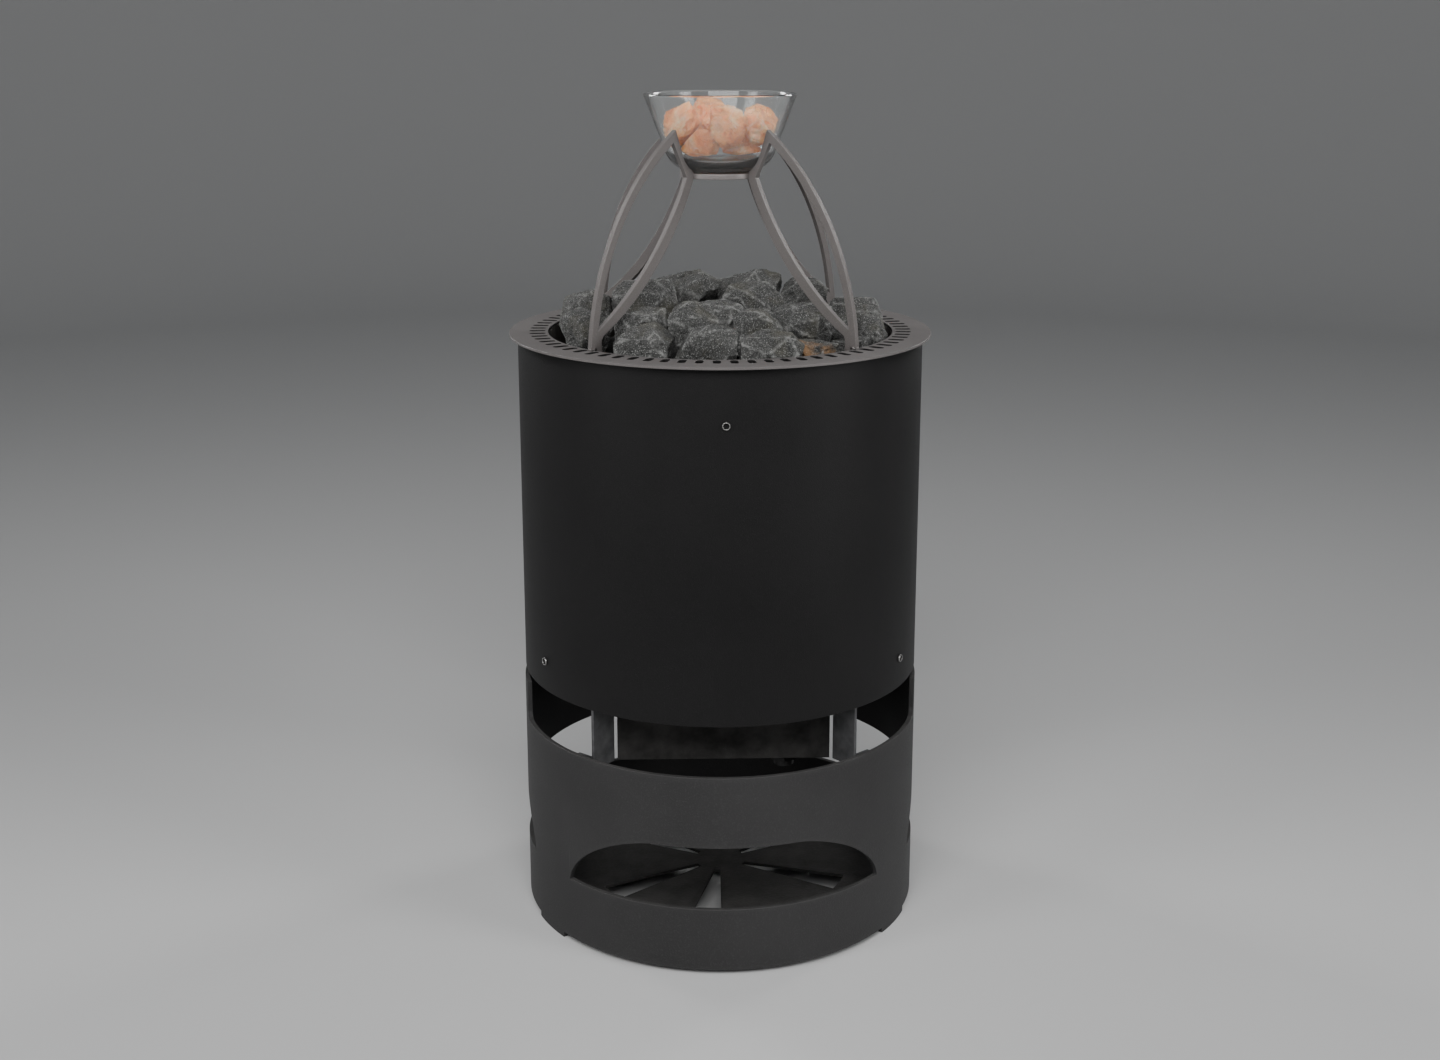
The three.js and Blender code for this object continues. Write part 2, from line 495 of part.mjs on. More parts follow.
// Outline of a leg as [radius, height]; grow widens its foot and its under side
function legOutline(grow) {
  const tipHeight = STAND_FLOOR + LEG_TIP_HEIGHT;
  const cradle = bowlOutside(BOWL_CLEARANCE).filter(([, z]) => z > SEAT_TOP + GAP && z < tipHeight);
  const rim = bowlOutside(BOWL_CLEARANCE).pop();
  const last = cradle[cradle.length - 1];
  const share = (tipHeight - last[1]) / (rim[1] - last[1]);
  const tip = [last[0] + (rim[0] - last[0]) * share, tipHeight];
  const inner = SEAT_RADIUS + GAP;
  const heel = [LEG_FOOT_INNER - grow, STAND_FLOOR + LEG_HEEL_HEIGHT - grow];
  const tongueOuter = BASKET_INNER - LEG_SLACK;
  return [
    [LEG_FOOT_OUTER + grow, STAND_FLOOR],
    ...arc([LEG_FOOT_OUTER + grow, STAND_FLOOR + 1], tip, -LEG_OUTER_BOW),
    ...cradle.filter(([r]) => r > inner + 1).reverse(),
    [inner, SEAT_TOP + GAP],
    ...arc([inner, SEAT_BOTTOM - grow], heel, -LEG_INNER_BOW),
    [LEG_FOOT_INNER - grow, STAND_FLOOR - LEG_TONGUE - grow],
    [tongueOuter, STAND_FLOOR - LEG_TONGUE - grow],
    [tongueOuter, STAND_FLOOR],
  ];
}

// Leaf-shaped opening of a leg
function legOpening() {
  const fork = [LEG_FOOT_OUTER - LEG_STRIP - 1, STAND_FLOOR + LEG_FORK_HEIGHT];
  const tipHeight = STAND_FLOOR + LEG_TIP_HEIGHT;
  const crown = [0, tipHeight - LEG_HEAD_DEPTH];
  const rim = bowlOutside(BOWL_CLEARANCE).pop();
  crown[0] = rim[0] - (rim[1] - crown[1]) * BOWL_SLOPE + LEG_CRADLE_WIDTH;
  const root = [SEAT_RADIUS + GAP + LEG_ROOT_WIDTH, SEAT_BOTTOM + 2];
  return [
    ...arc(fork, crown, -LEG_OUTER_BOW * 0.77),
    ...arc(root, fork, -LEG_INNER_BOW * 0.83).slice(0, -1),
  ];
}

function plateLeg(outline, opening, thickness, angle) {
  const shape = new THREE.Shape(outline.map(([r, z]) => new THREE.Vector2(r, z)));
  if (opening) shape.holes.push(new THREE.Path(opening.map(([r, z]) => new THREE.Vector2(r, z))));
  const geometry = new THREE.ExtrudeGeometry(shape, { depth: thickness, bevelEnabled: false });
  geometry.translate(0, 0, -thickness / 2);
  return solid(aim(geometry.rotateX(Math.PI / 2), angle));
}

// Stand: four leaf-shaped plate legs on the rim ring and the seat ring that they hold
STAND_ANGLES.forEach((angle, i) => add(`stand_leg_${i + 1}`,
  plateLeg(legOutline(0), legOpening(), LEG_THICKNESS, angle), STAND_PAINT));
const legRoom = STAND_ANGLES.map((angle) => plateLeg(legOutline(STONE_LEG_GAP), null,
  LEG_THICKNESS + 2 * STONE_LEG_GAP, angle));
add("stand_seat_ring", tube(SEAT_OPENING, SEAT_RADIUS, SEAT_BOTTOM, SEAT_TOP, 48), STAND_PAINT);

// Glass bowl: conical with a rounded thick base
const bowlSkin = bowlOutside(0);
const bowlInside = bowlOutside(-BOWL_WALL).map(([r, z]) => [r, Math.max(z, BOWL_BOTTOM + BOWL_FLOOR)]);
bowlInside[bowlInside.length - 1][1] = BOWL_BOTTOM + BOWL_HEIGHT;
add("glass_bowl", solid(turned([[0, BOWL_BOTTOM], ...bowlSkin, ...bowlInside.filter(([r, z], i, all) =>
  i === 0 || z > all[i - 1][1]).reverse(), [0, BOWL_BOTTOM + BOWL_FLOOR]], 56)), GLASS);

// Broken rock: hull of points scattered over a blunt ellipsoid, the same for the same seed
function rock([sx, sy, sz], yaw, seed, count = 18) {
  let state = seed * 7919 + 17;
  const next = () => {
    state = (state * 16807) % 2147483647;
    return state / 2147483647;
  };
  for (let i = 0; i < 8; i++) next();
  const points = [];
  for (let i = 0; i < count; i++) {
    const up = 1 - (2 * (i + 0.5)) / count;
    const turn = i * 2.399963 + (next() - 0.5) * 0.9;
    const flat = Math.sqrt(1 - up * up);
    const way = new THREE.Vector3(flat * Math.cos(turn), flat * Math.sin(turn), up);
    const blunt = Math.pow(Math.abs(way.x) ** 3 + Math.abs(way.y) ** 3 + Math.abs(way.z) ** 3, -1 / 3);
    points.push(way.multiplyScalar(blunt * (0.84 + 0.2 * next())).multiply(new THREE.Vector3(sx / 2, sy / 2, sz / 2)));
  }
  const geometry = new ConvexGeometry(points);
  geometry.rotateX((next() - 0.5) * 0.5);
  geometry.rotateY((next() - 0.5) * 0.5);
  return geometry.rotateZ(rad(yaw));
}

// Everything behind a plane, seen along its normal
function behind(point, normal) {
  const size = 600;
  const geometry = new THREE.BoxGeometry(size, size, size);
  geometry.translate(0, 0, -size / 2);
  geometry.applyQuaternion(new THREE.Quaternion().setFromUnitVectors(new THREE.Vector3(0, 0, 1), normal));
  return solid(geometry.translate(point.x, point.y, point.z));
}

// Lays rocks against each other: where two would meet, both end at a plane between them
function heap(rocks, gap) {
  const reach = (item, way) => Math.hypot(item.size[0] * way.x, item.size[1] * way.y, item.size[2] * way.z) / 2;
  return rocks.map((item, i) => {
    let body = solid(rock(item.size, item.yaw, item.seed).translate(item.at.x, item.at.y, item.at.z));
    rocks.forEach((other, j) => {
      const way = other.at.clone().sub(item.at);
      const distance = way.length();
      if (i === j || distance > 1.25 * (reach(item, way.clone().normalize()) + reach(other, way.clone().normalize()))) return;
      way.normalize();
      const mine = (distance * reach(item, way)) / (reach(item, way) + reach(other, way)) - gap / 2;
      body = body.intersect(behind(item.at.clone().addScaledVector(way, mine), way));
    });
    return body;
  });
}

// A little larger copy of a body about a middle point
function swollen(body, middle, share) {
  const geometry = surface(body);
  geometry.translate(-middle.x, -middle.y, -middle.z);
  geometry.scale(share, share, share);
  return solid(geometry.translate(middle.x, middle.y, middle.z));
}

// Stones of the visible heap: middle as [x, y, height over the rim], size and turn,
// laid out for a basket of the heap's radius and spread over the real one
const HEAP_RADIUS = 173.5;
const HEAP_SPREAD = BASKET_INNER / HEAP_RADIUS;
const STONES = [
  { at: [-133, 5, 13], size: [72, 86, 58], yaw: 20 },
  { at: [-140, -60, 2], size: [60, 84, 56], yaw: -25 },
  { at: [-72, -124, 0], size: [86, 66, 54], yaw: 12 },
  { at: [-74, -74, 8], size: [76, 62, 58], yaw: -10 },
  { at: [-30, -84, 11], size: [58, 70, 62], yaw: 35 },
  { at: [-20, -134, -3], size: [102, 62, 60], yaw: 4 },
  { at: [46, -132, -4], size: [104, 62, 58], yaw: -6 },
  { at: [31, -88, 5], size: [76, 56, 62], yaw: 10 },
  { at: [4, -46, 13], size: [76, 66, 54], yaw: -14 },
  { at: [32, 2, 22], size: [96, 72, 52], yaw: 6 },
  { at: [30, 62, 27], size: [96, 78, 52], yaw: -8 },
  { at: [-34, 50, 30], size: [84, 80, 54], yaw: 16 },
  { at: [-76, -6, 25], size: [86, 78, 58], yaw: -18 },
  { at: [86, 48, 24], size: [70, 76, 52], yaw: 22 },
  { at: [82, -46, 10], size: [74, 74, 58], yaw: -12 },
  { at: [84, -118, -1], size: [58, 62, 60], yaw: 30 },
  { at: [122, -86, -2], size: [66, 70, 54], yaw: -40 },
  { at: [130, 12, 2], size: [76, 84, 58], yaw: -16 },
  { at: [150, -42, -6], size: [48, 74, 56], yaw: 14 },
  { at: [-8, 122, 8], size: [104, 84, 60], yaw: -5 },
  { at: [-94, 88, 10], size: [96, 90, 60], yaw: 38 },
  { at: [92, 112, 8], size: [94, 84, 60], yaw: -34 },
].map((stone, i) => ({
  ...stone,
  seed: i + 3,
  size: stone.size.map((side) => side * HEAP_SPREAD),
  at: new THREE.Vector3(stone.at[0] * HEAP_SPREAD, stone.at[1] * HEAP_SPREAD, RIM_TOP + stone.at[2]),
}));

const basketRoom = disc(BASKET_INNER - STONE_GAP, GRATE_TOP + GAP, RIM_TOP + 200);
const stones = heap(STONES, STONE_GAP).map((body) => cut(body.intersect(basketRoom), legRoom));
stones.forEach((body, i) => add(`stone_${String(i + 1).padStart(2, "0")}`, body, ROCK));

// Stone bed: stands for the hidden stones under the heap, dented where the visible ones lie
const BED_EDGE = 40;
const BED_CROWN = 6;
const bedProfile = [[0, GRATE_TOP + GAP], [BASKET_INNER - STONE_GAP, GRATE_TOP + GAP]];
for (let i = 0; i <= 6; i++) {
  const r = (BASKET_INNER - STONE_GAP) * (1 - i / 6);
  const share = (r / (BASKET_INNER - STONE_GAP)) ** 2;
  bedProfile.push([r, RIM_TOP + BED_CROWN - (BED_CROWN + BED_EDGE) * share]);
}
const stoneRoom = stones.map((body, i) => swollen(body, STONES[i].at, 1.03));
add("stone_bed", cut(solid(turned(bedProfile, 48)), [...elementPockets, ...stoneRoom, ...legRoom]), ROCK);

// Salt lumps in the bowl: middle as [x, y, height over the bowl floor], size and turn
const LUMPS = [
  { at: [-20, -12, 17], size: [52, 50, 36], yaw: 20 },
  { at: [22, 10, 17], size: [54, 56, 36], yaw: -30 },
  { at: [-38, -8, 34], size: [50, 58, 48], yaw: 15 },
  { at: [-12, 28, 37], size: [48, 52, 48], yaw: -20 },
  { at: [4, -28, 35], size: [56, 50, 44], yaw: 40 },
  { at: [40, 0, 33], size: [54, 60, 42], yaw: -10 },
].map((lump, i) => ({
  ...lump,
  seed: i + 41,
  at: new THREE.Vector3(lump.at[0], lump.at[1], BOWL_BOTTOM + BOWL_FLOOR + lump.at[2]),
}));

const bowlRoom = solid(turned([[0, BOWL_BOTTOM + BOWL_FLOOR + GAP],
  ...bowlOutside(-BOWL_WALL - GAP).filter(([, z]) => z > BOWL_BOTTOM + BOWL_FLOOR + 2 * GAP),
  [0, BOWL_BOTTOM + BOWL_HEIGHT]], 56));
heap(LUMPS, STONE_GAP).forEach((body, i) => add(`salt_lump_${i + 1}`, body.intersect(bowlRoom), SALT));

export default group;
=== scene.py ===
import math

import bmesh
import bpy
import numpy as np
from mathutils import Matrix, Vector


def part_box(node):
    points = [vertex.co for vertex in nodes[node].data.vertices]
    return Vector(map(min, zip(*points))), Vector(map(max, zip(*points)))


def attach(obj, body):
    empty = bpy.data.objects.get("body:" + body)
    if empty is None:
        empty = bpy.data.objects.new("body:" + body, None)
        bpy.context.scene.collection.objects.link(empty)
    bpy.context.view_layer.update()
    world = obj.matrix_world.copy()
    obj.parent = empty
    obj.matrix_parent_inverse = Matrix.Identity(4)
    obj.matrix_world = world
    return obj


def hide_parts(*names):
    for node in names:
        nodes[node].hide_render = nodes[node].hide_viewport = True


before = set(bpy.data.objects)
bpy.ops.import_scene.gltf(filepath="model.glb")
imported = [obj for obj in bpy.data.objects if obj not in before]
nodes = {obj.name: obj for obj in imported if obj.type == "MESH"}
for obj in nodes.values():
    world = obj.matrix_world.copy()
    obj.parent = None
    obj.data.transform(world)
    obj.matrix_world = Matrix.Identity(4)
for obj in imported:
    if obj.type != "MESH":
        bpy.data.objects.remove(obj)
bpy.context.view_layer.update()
scene = bpy.context.scene


# Camera, floor and light.
# The camera stands a little left of the heater's front, above its bowl and tilted down;
# a small shift of the picture keeps the drum's sides nearly upright.
camera = bpy.data.cameras.new("camera")
camera.sensor_fit = "HORIZONTAL"
camera.sensor_width = 36.0
camera.lens = 44.91
camera.shift_y = -0.06
eye = bpy.data.objects.new("camera", camera)
eye.location = (-0.0497, -1.8066, 0.9145)
eye.rotation_euler = (math.radians(76.765), 0.0, math.radians(-1.572))
scene.collection.objects.link(eye)
scene.camera = eye


def wire(node, **sockets):
    """Sets inputs of a shader node by name, or by number as in i0; a value that is a socket is linked."""
    for key, value in sockets.items():
        index = int(key[1:]) if key[0] == "i" and key[1:].isdigit() else key.replace("_", " ")
        if isinstance(value, bpy.types.NodeSocket):
            node.id_data.links.new(value, node.inputs[index])
        else:
            node.inputs[index].default_value = value


def put(tree, kind, settings=None, **sockets):
    """Adds a shader node with its settings and inputs."""
    made = tree.nodes.new(kind)
    for key, value in (settings or {}).items():
        setattr(made, key, value)
    wire(made, **sockets)
    return made


def material(name):
    """New material with a Principled shader on its output; gives material, tree and shader."""
    made = bpy.data.materials.new(name)
    made.use_nodes = True
    tree = made.node_tree
    tree.nodes.clear()
    shader = tree.nodes.new("ShaderNodeBsdfPrincipled")
    out = tree.nodes.new("ShaderNodeOutputMaterial")
    tree.links.new(shader.outputs[0], out.inputs[0])
    return made, tree, shader


def piece_from(name, points, faces, look, body=None):
    """Mesh piece from arrays of points and faces, with doubled points joined, riding on its body."""
    mesh = bpy.data.meshes.new(name)
    mesh.from_pydata(points.tolist(), [], faces.tolist())
    work = bmesh.new()
    work.from_mesh(mesh)
    bmesh.ops.remove_doubles(work, verts=work.verts, dist=2e-6)
    work.to_mesh(mesh)
    work.free()
    mesh.polygons.foreach_set("use_smooth", np.ones(len(mesh.polygons), bool))
    mesh.materials.append(look)
    made = bpy.data.objects.new(name, mesh)
    scene.collection.objects.link(made)
    if body:
        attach(made, body)
    return made


def lathe(profile, segments, closed=True):
    """Surface of revolution: each (radius, height) of the profile goes once round the axis. A closed profile
    runs back to its start; an open one ends where it ends, on the axis for a shape without a hole."""
    profile = np.asarray(profile, float)
    rows = len(profile)
    turn = np.linspace(0.0, 2 * math.pi, segments, endpoint=False)
    points = np.stack([profile[:, :1] * np.sin(turn), -profile[:, :1] * np.cos(turn),
                       np.repeat(profile[:, 1:], segments, axis=1)], axis=-1).reshape(-1, 3)
    row, col = np.meshgrid(np.arange(rows if closed else rows - 1), np.arange(segments), indexing="ij")
    after, beside = (row + 1) % rows, (col + 1) % segments
    faces = np.stack([row * segments + col, row * segments + beside, after * segments + beside,
                      after * segments + col], axis=-1).reshape(-1, 4)
    return points, faces


def arc(radius, middle, turn):
    """Points of a circle about a (radius, height) middle; the turn runs from straight down to the outside."""
    return np.c_[middle[0] + radius * np.sin(turn), middle[1] - radius * np.cos(turn)]


FLOOR_REACH, COVE, WALL_TOP = 4.0, 2.5, 5.0
cove_line = arc(COVE, (FLOOR_REACH, COVE), np.linspace(0, math.pi / 2, 14))
floor_line = np.vstack([[(FLOOR_REACH + COVE, WALL_TOP)], cove_line[::-1], [(0.0, 0.0)]])
pale_floor, tree, shader = material("pale_floor")
wire(shader, Base_Color=(0.58, 0.58, 0.58, 1), Roughness=0.8)
floor = piece_from("floor", *lathe(floor_line, segments=96, closed=False), pale_floor)

world = bpy.data.worlds.new("studio")
world.use_nodes = True
wire(world.node_tree.nodes["Background"], Color=(0.9, 0.95, 1.0, 1), Strength=0.1)
scene.world = world


def softbox(name, place, aim, width, height, power, spread=180.0):
    """Rectangular light at a place that faces the point it is aimed at, within a spread in degrees."""
    lamp = bpy.data.lights.new(name, "AREA")
    lamp.shape = "RECTANGLE"
    lamp.size = width
    lamp.size_y = height
    lamp.energy = power
    lamp.spread = math.radians(spread)
    made = bpy.data.objects.new(name, lamp)
    made.location = place
    way = np.subtract(place, aim)
    flat = math.hypot(way[0], way[1])
    made.rotation_euler = (math.atan2(flat, way[2]), 0, math.atan2(way[0], -way[1]))
    scene.collection.objects.link(made)


softbox("front", (-0.3, -2.3, 2.3), (0, 0, 0.6), width=2.4, height=1.3, power=76)
softbox("left", (-2.4, -1.4, 1.3), (0, 0, 0.5), width=0.9, height=1.9, power=28)
softbox("right", (2.4, -1.4, 1.3), (0, 0, 0.5), width=0.9, height=1.9, power=38)
softbox("rim_left", (-1.9, 1.5, 1.6), (0, 0, 0.85), width=0.6, height=0.9, power=2.5, spread=40.0)
softbox("rim_right", (1.9, 1.5, 1.6), (0, 0, 0.85), width=0.6, height=0.9, power=2.5, spread=40.0)
softbox("over_bowl", (0.0, -0.9, 1.75), (0, 0, 0.83), width=1.1, height=0.6, power=0.8, spread=60.0)


# Base tube: rolled steel sheet with three air mouths, a window notch in front and three feet left standing.
# Coarse dark powder coat; it stands on the floor and carries the heater body on welded brackets.
def group_tree(name, inputs, outputs):
    """Empty shader group with float inputs (name, value) and outputs (name, kind)."""
    tree = bpy.data.node_groups.new(name, "ShaderNodeTree")
    for label, value in inputs:
        tree.interface.new_socket(label, in_out="INPUT", socket_type="NodeSocketFloat").default_value = value
    for label, kind in outputs:
        tree.interface.new_socket(label, in_out="OUTPUT", socket_type="NodeSocket" + kind)
    return tree, tree.nodes.new("NodeGroupInput")


def ramp(tree, factor, *stops):
    """Colour ramp over (position, colour) stops; a plain number stands for a grey."""
    made = put(tree, "ShaderNodeValToRGB", Fac=factor)
    elements = made.color_ramp.elements
    while len(elements) < len(stops):
        elements.new(0.5)
    for element, (position, colour) in zip(elements, stops):
        element.position = position
        element.color = (colour, colour, colour, 1) if isinstance(colour, (int, float)) else (*colour, 1)
    return made.outputs["Color"]


def mix(tree, factor, a, b):
    """Colour a blended towards b by a factor; a colour is a socket or three numbers."""
    a, b = (colour if isinstance(colour, bpy.types.NodeSocket) else (*colour, 1) for colour in (a, b))
    return put(tree, "ShaderNodeMix", {"data_type": "RGBA"}, i0=factor, i6=a, i7=b).outputs[2]


def toned(colour, share):
    """A colour made darker or lighter: each of its numbers times the share."""
    return tuple(share * c for c in colour)


def times(tree, a, b):
    """Product of two values or sockets."""
    return put(tree, "ShaderNodeMath", {"operation": "MULTIPLY"}, i0=a, i1=b).outputs[0]


def here(tree):
    """The piece's own coordinates, in metres."""
    return put(tree, "ShaderNodeTexCoord").outputs["Object"]


def noise(tree, where, scale, detail=4.0, rough=0.55):
    """Fractal noise from 0 to 1."""
    made = put(tree, "ShaderNodeTexNoise", Vector=where, Scale=scale, Detail=detail, Roughness=rough)
    return made.outputs["Fac"]


def bumped(tree, height, strength, distance):
    """Normal tilted as if the surface rose by the height times the distance."""
    return put(tree, "ShaderNodeBump", Strength=strength, Distance=distance, Height=height).outputs["Normal"]


def facing_up(tree):
    """How far a face looks up: the height of its normal, from -1 to 1."""
    normal = put(tree, "ShaderNodeNewGeometry").outputs["Normal"]
    return put(tree, "ShaderNodeSeparateXYZ", Vector=normal).outputs["Z"]


def coat_grain():
    """Shader group: the pimples of a powder coat, as a height and as a bumped normal."""
    tree, given = group_tree("coat_grain", [("Scale", 900.0), ("Depth", 0.0002)],
                             [("Height", "Float"), ("Normal", "Vector")])
    pimples = noise(tree, here(tree), given.outputs["Scale"], 3.0)
    put(tree, "NodeGroupOutput", Height=pimples, Normal=bumped(tree, pimples, 0.8, given.outputs["Depth"]))
    return tree


def edge_wear():
    """Shader group: 1 along outer edges that have been rubbed, broken up by noise."""
    tree, _ = group_tree("edge_wear", [], [("Wear", "Float")])
    sharp = ramp(tree, put(tree, "ShaderNodeNewGeometry").outputs["Pointiness"], (0.52, 0.0), (0.6, 1.0))
    put(tree, "NodeGroupOutput", Wear=times(tree, sharp, noise(tree, here(tree), 60.0)))
    return tree


def lying_dust():
    """Shader group: 1 on upward faces where dust has settled, thinned by noise."""
    tree, _ = group_tree("lying_dust", [], [("Dust", "Float")])
    level = ramp(tree, facing_up(tree), (0.55, 0.0), (0.95, 1.0))
    patches = ramp(tree, noise(tree, here(tree), 38.0, 5.0), (0.35, 0.2), (0.7, 1.0))
    put(tree, "NodeGroupOutput", Dust=times(tree, level, patches))
    return tree


COAT_GRAIN, EDGE_WEAR, LYING_DUST = coat_grain(), edge_wear(), lying_dust()
DUST, BARE_STEEL = (0.3, 0.29, 0.28), (0.16, 0.155, 0.15)


def coated(name, dark, light, scale, depth, rough, shine, wear=BARE_STEEL, metal=0.0):
    """Coated sheet: colour drifts between dark and light, with pimples, settled dust and rubbed edges."""
    made, tree, shader = material(name)
    grain = put(tree, "ShaderNodeGroup", {"node_tree": COAT_GRAIN}, Scale=scale, Depth=depth)
    height = grain.outputs["Height"]
    drift = ramp(tree, noise(tree, here(tree), 7.0), (0.35, 0.0), (0.7, 1.0))
    colour = mix(tree, drift, dark, light)
    colour = mix(tree, ramp(tree, height, (0.5, 0.0), (0.75, 0.4)), colour, toned(light, 2.0))
    dust = put(tree, "ShaderNodeGroup", {"node_tree": LYING_DUST}).outputs["Dust"]
    colour = mix(tree, times(tree, dust, 0.08), colour, DUST)
    rubbed = put(tree, "ShaderNodeGroup", {"node_tree": EDGE_WEAR}).outputs["Wear"]
    colour = mix(tree, times(tree, rubbed, 0.4), colour, wear)
    wire(shader, Base_Color=colour, Roughness=ramp(tree, height, (0.3, rough - 0.06), (0.7, rough + 0.08)),
         Normal=grain.outputs["Normal"], Specular_IOR_Level=shine, Metallic=metal)
    return made


def split_sheet(edge_a, lip_a, lip_b, edge_b, across, closed=False):
    """Sheet in two halves: at each step along the curves, points run straight from edge_a to lip_a and from
    lip_b to edge_b. Where the lips run together the halves are one; where they part there is an opening."""
    t = np.linspace(0, 1, across)[None, :, None]
    halves = [a[:, None] * (1 - t) + b[:, None] * t for a, b in ((edge_a, lip_a), (lip_b, edge_b))]
    steps = len(edge_a)
    row, col = np.meshgrid(np.arange(steps if closed else steps - 1), np.arange(across - 1), indexing="ij")
    level, ahead = row * across + col, (row + 1) % steps * across + col
    faces = np.stack([level, ahead, ahead + 1, level + 1], axis=-1).reshape(-1, 4)
    points = np.concatenate([half.reshape(-1, 3) for half in halves])
    return points, np.concatenate([faces, faces + steps * across])


def thick_sheet(name, sheet, look, body, wall, side, edge):
    """Sheet given its wall by Solidify, behind it for side -1 or half on each side for 0, and its broken
    edges by Bevel."""
    made = piece_from(name, *sheet, look, body)
    solid = made.modifiers.new("wall", "SOLIDIFY")
    solid.thickness = wall
    solid.offset = side
    solid.use_even_offset = True
    bevel = made.modifiers.new("edges", "BEVEL")
    bevel.width = edge
    bevel.segments = 2
    bevel.limit_method = "ANGLE"
    bevel.angle_limit = math.radians(38)
    bevel.use_clamp_overlap = False
    bevel.harden_normals = True
    return made


def round_tube(radius, angle, height):
    """Points on a drum: the angle in degrees runs from the front towards the right."""
    turn = np.radians(angle)
    height = np.broadcast_to(height, turn.shape)
    return np.stack([radius * np.sin(turn), -radius * np.cos(turn), height], axis=-1)


def nearest(angle, places):
    """Unsigned distance in degrees from each angle to the nearest of some places."""
    return np.abs((angle[:, None] - np.array(places) + 180) % 360 - 180).min(1)


# Heights are above the floor. Half widths and corners are in degrees from the middle of a foot or an opening.
BASE_RADIUS, BASE_WALL, BASE_EDGE, BASE_TOP = 0.206, 0.005, 0.0006, 0.2475
FEET, FOOT_HALF, FOOT_HEIGHT = [60, 180, 300], 7.5, 0.0055
MOUTHS, MOUTH_SILL, MOUTH_RISE = [0, 120, 240], 0.0705, 0.0645
MOUTH_FLAT, MOUTH_SHOULDER, MOUTH_POWER = 20, 29, 1.6
WINDOW_SILL, WINDOW_HALF, WINDOW_CORNER, WINDOW_CORNER_RISE = 0.208, 77.5, 2.8, 0.010
WINDOW_FLAT = WINDOW_HALF - WINDOW_CORNER
# Steps round the tube in degrees, finer at the ends of a mouth and close together where an edge jumps
STEP, JUMP, MOUTH_END = 0.6, 0.06, 4
mouth_side = MOUTH_FLAT + MOUTH_SHOULDER - MOUTH_END * np.linspace(0, 1, 16) ** 2
window_side = np.r_[np.linspace(WINDOW_FLAT, WINDOW_HALF - JUMP, 10), WINDOW_HALF + JUMP]
foot_side = np.array([FOOT_HALF - JUMP, FOOT_HALF + JUMP])
steps = [np.arange(0, 360, STEP)]
for side in (-1, 1):
    steps += [foot + side * foot_side for foot in FEET] + [mouth + side * mouth_side for mouth in MOUTHS]
    steps += [side * window_side]
angle = np.unique(np.round(np.concatenate(steps) % 360, 3))
past = np.clip((nearest(angle, MOUTHS) - MOUTH_FLAT) / MOUTH_SHOULDER, 0, 1)
mouth_top = MOUTH_SILL + MOUTH_RISE * (1 - past ** MOUTH_POWER) ** (1 / MOUTH_POWER)
front = nearest(angle, [0])
rounding = np.clip((front - WINDOW_FLAT) / WINDOW_CORNER, 0, 1)
sill = WINDOW_SILL + WINDOW_CORNER_RISE * (1 - np.sqrt(1 - rounding ** 2))
low_edge = np.where(nearest(angle, FEET) < FOOT_HALF, 0.0, FOOT_HEIGHT)
top_edge = np.where(front < WINDOW_HALF, sill, BASE_TOP)
base_sheet = split_sheet(*(round_tube(BASE_RADIUS, angle, height)
                           for height in (low_edge, MOUTH_SILL, mouth_top, top_edge)), across=8, closed=True)
base_coat = coated("base_coat", (0.021, 0.0205, 0.0208), (0.029, 0.0285, 0.0288),
                   scale=620.0, depth=0.0004, rough=0.6, shine=0.3)
base = thick_sheet("base_tube_shown", base_sheet, base_coat, "heater",
                   wall=BASE_WALL, side=-1, edge=BASE_EDGE)
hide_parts("base_tube")


# Inside of the base: star plate, brackets, terminal box with cover, block and gland, and the carrier plate.
# Plain and zinc-coated sheet that has dulled; all of it is welded in or hung under the heater body.
def dress(look, *names):
    """Gives CAD nodes that keep their shape a new material."""
    for name in names:
        nodes[name].data.materials.clear()
        nodes[name].data.materials.append(look)


def zinc_sheet(name, dark, light, rough):
    """Zinc-coated sheet: grey flakes of zinc, dull blotches and a faint waviness."""
    made, tree, shader = material(name)
    where = here(tree)
    flakes = put(tree, "ShaderNodeTexVoronoi", Vector=where, Scale=160.0).outputs["Color"]
    tone = put(tree, "ShaderNodeSeparateColor", Color=flakes).outputs[0]
    blotch = noise(tree, where, 22.0, 6.0)
    colour = mix(tree, ramp(tree, tone, (0.1, 0.0), (0.9, 1.0)), dark, light)
    colour = mix(tree, ramp(tree, blotch, (0.4, 0.0), (0.75, 0.6)), colour, toned(dark, 0.6))
    rubbed = put(tree, "ShaderNodeGroup", {"node_tree": EDGE_WEAR}).outputs["Wear"]
    wire(shader, Base_Color=mix(tree, times(tree, rubbed, 0.3), colour, (0.5, 0.5, 0.5)),
         Roughness=ramp(tree, blotch, (0.3, rough - 0.1), (0.7, rough + 0.15)),
         Normal=bumped(tree, noise(tree, where, 90.0), 0.4, 0.0004), Metallic=0.7)
    return made


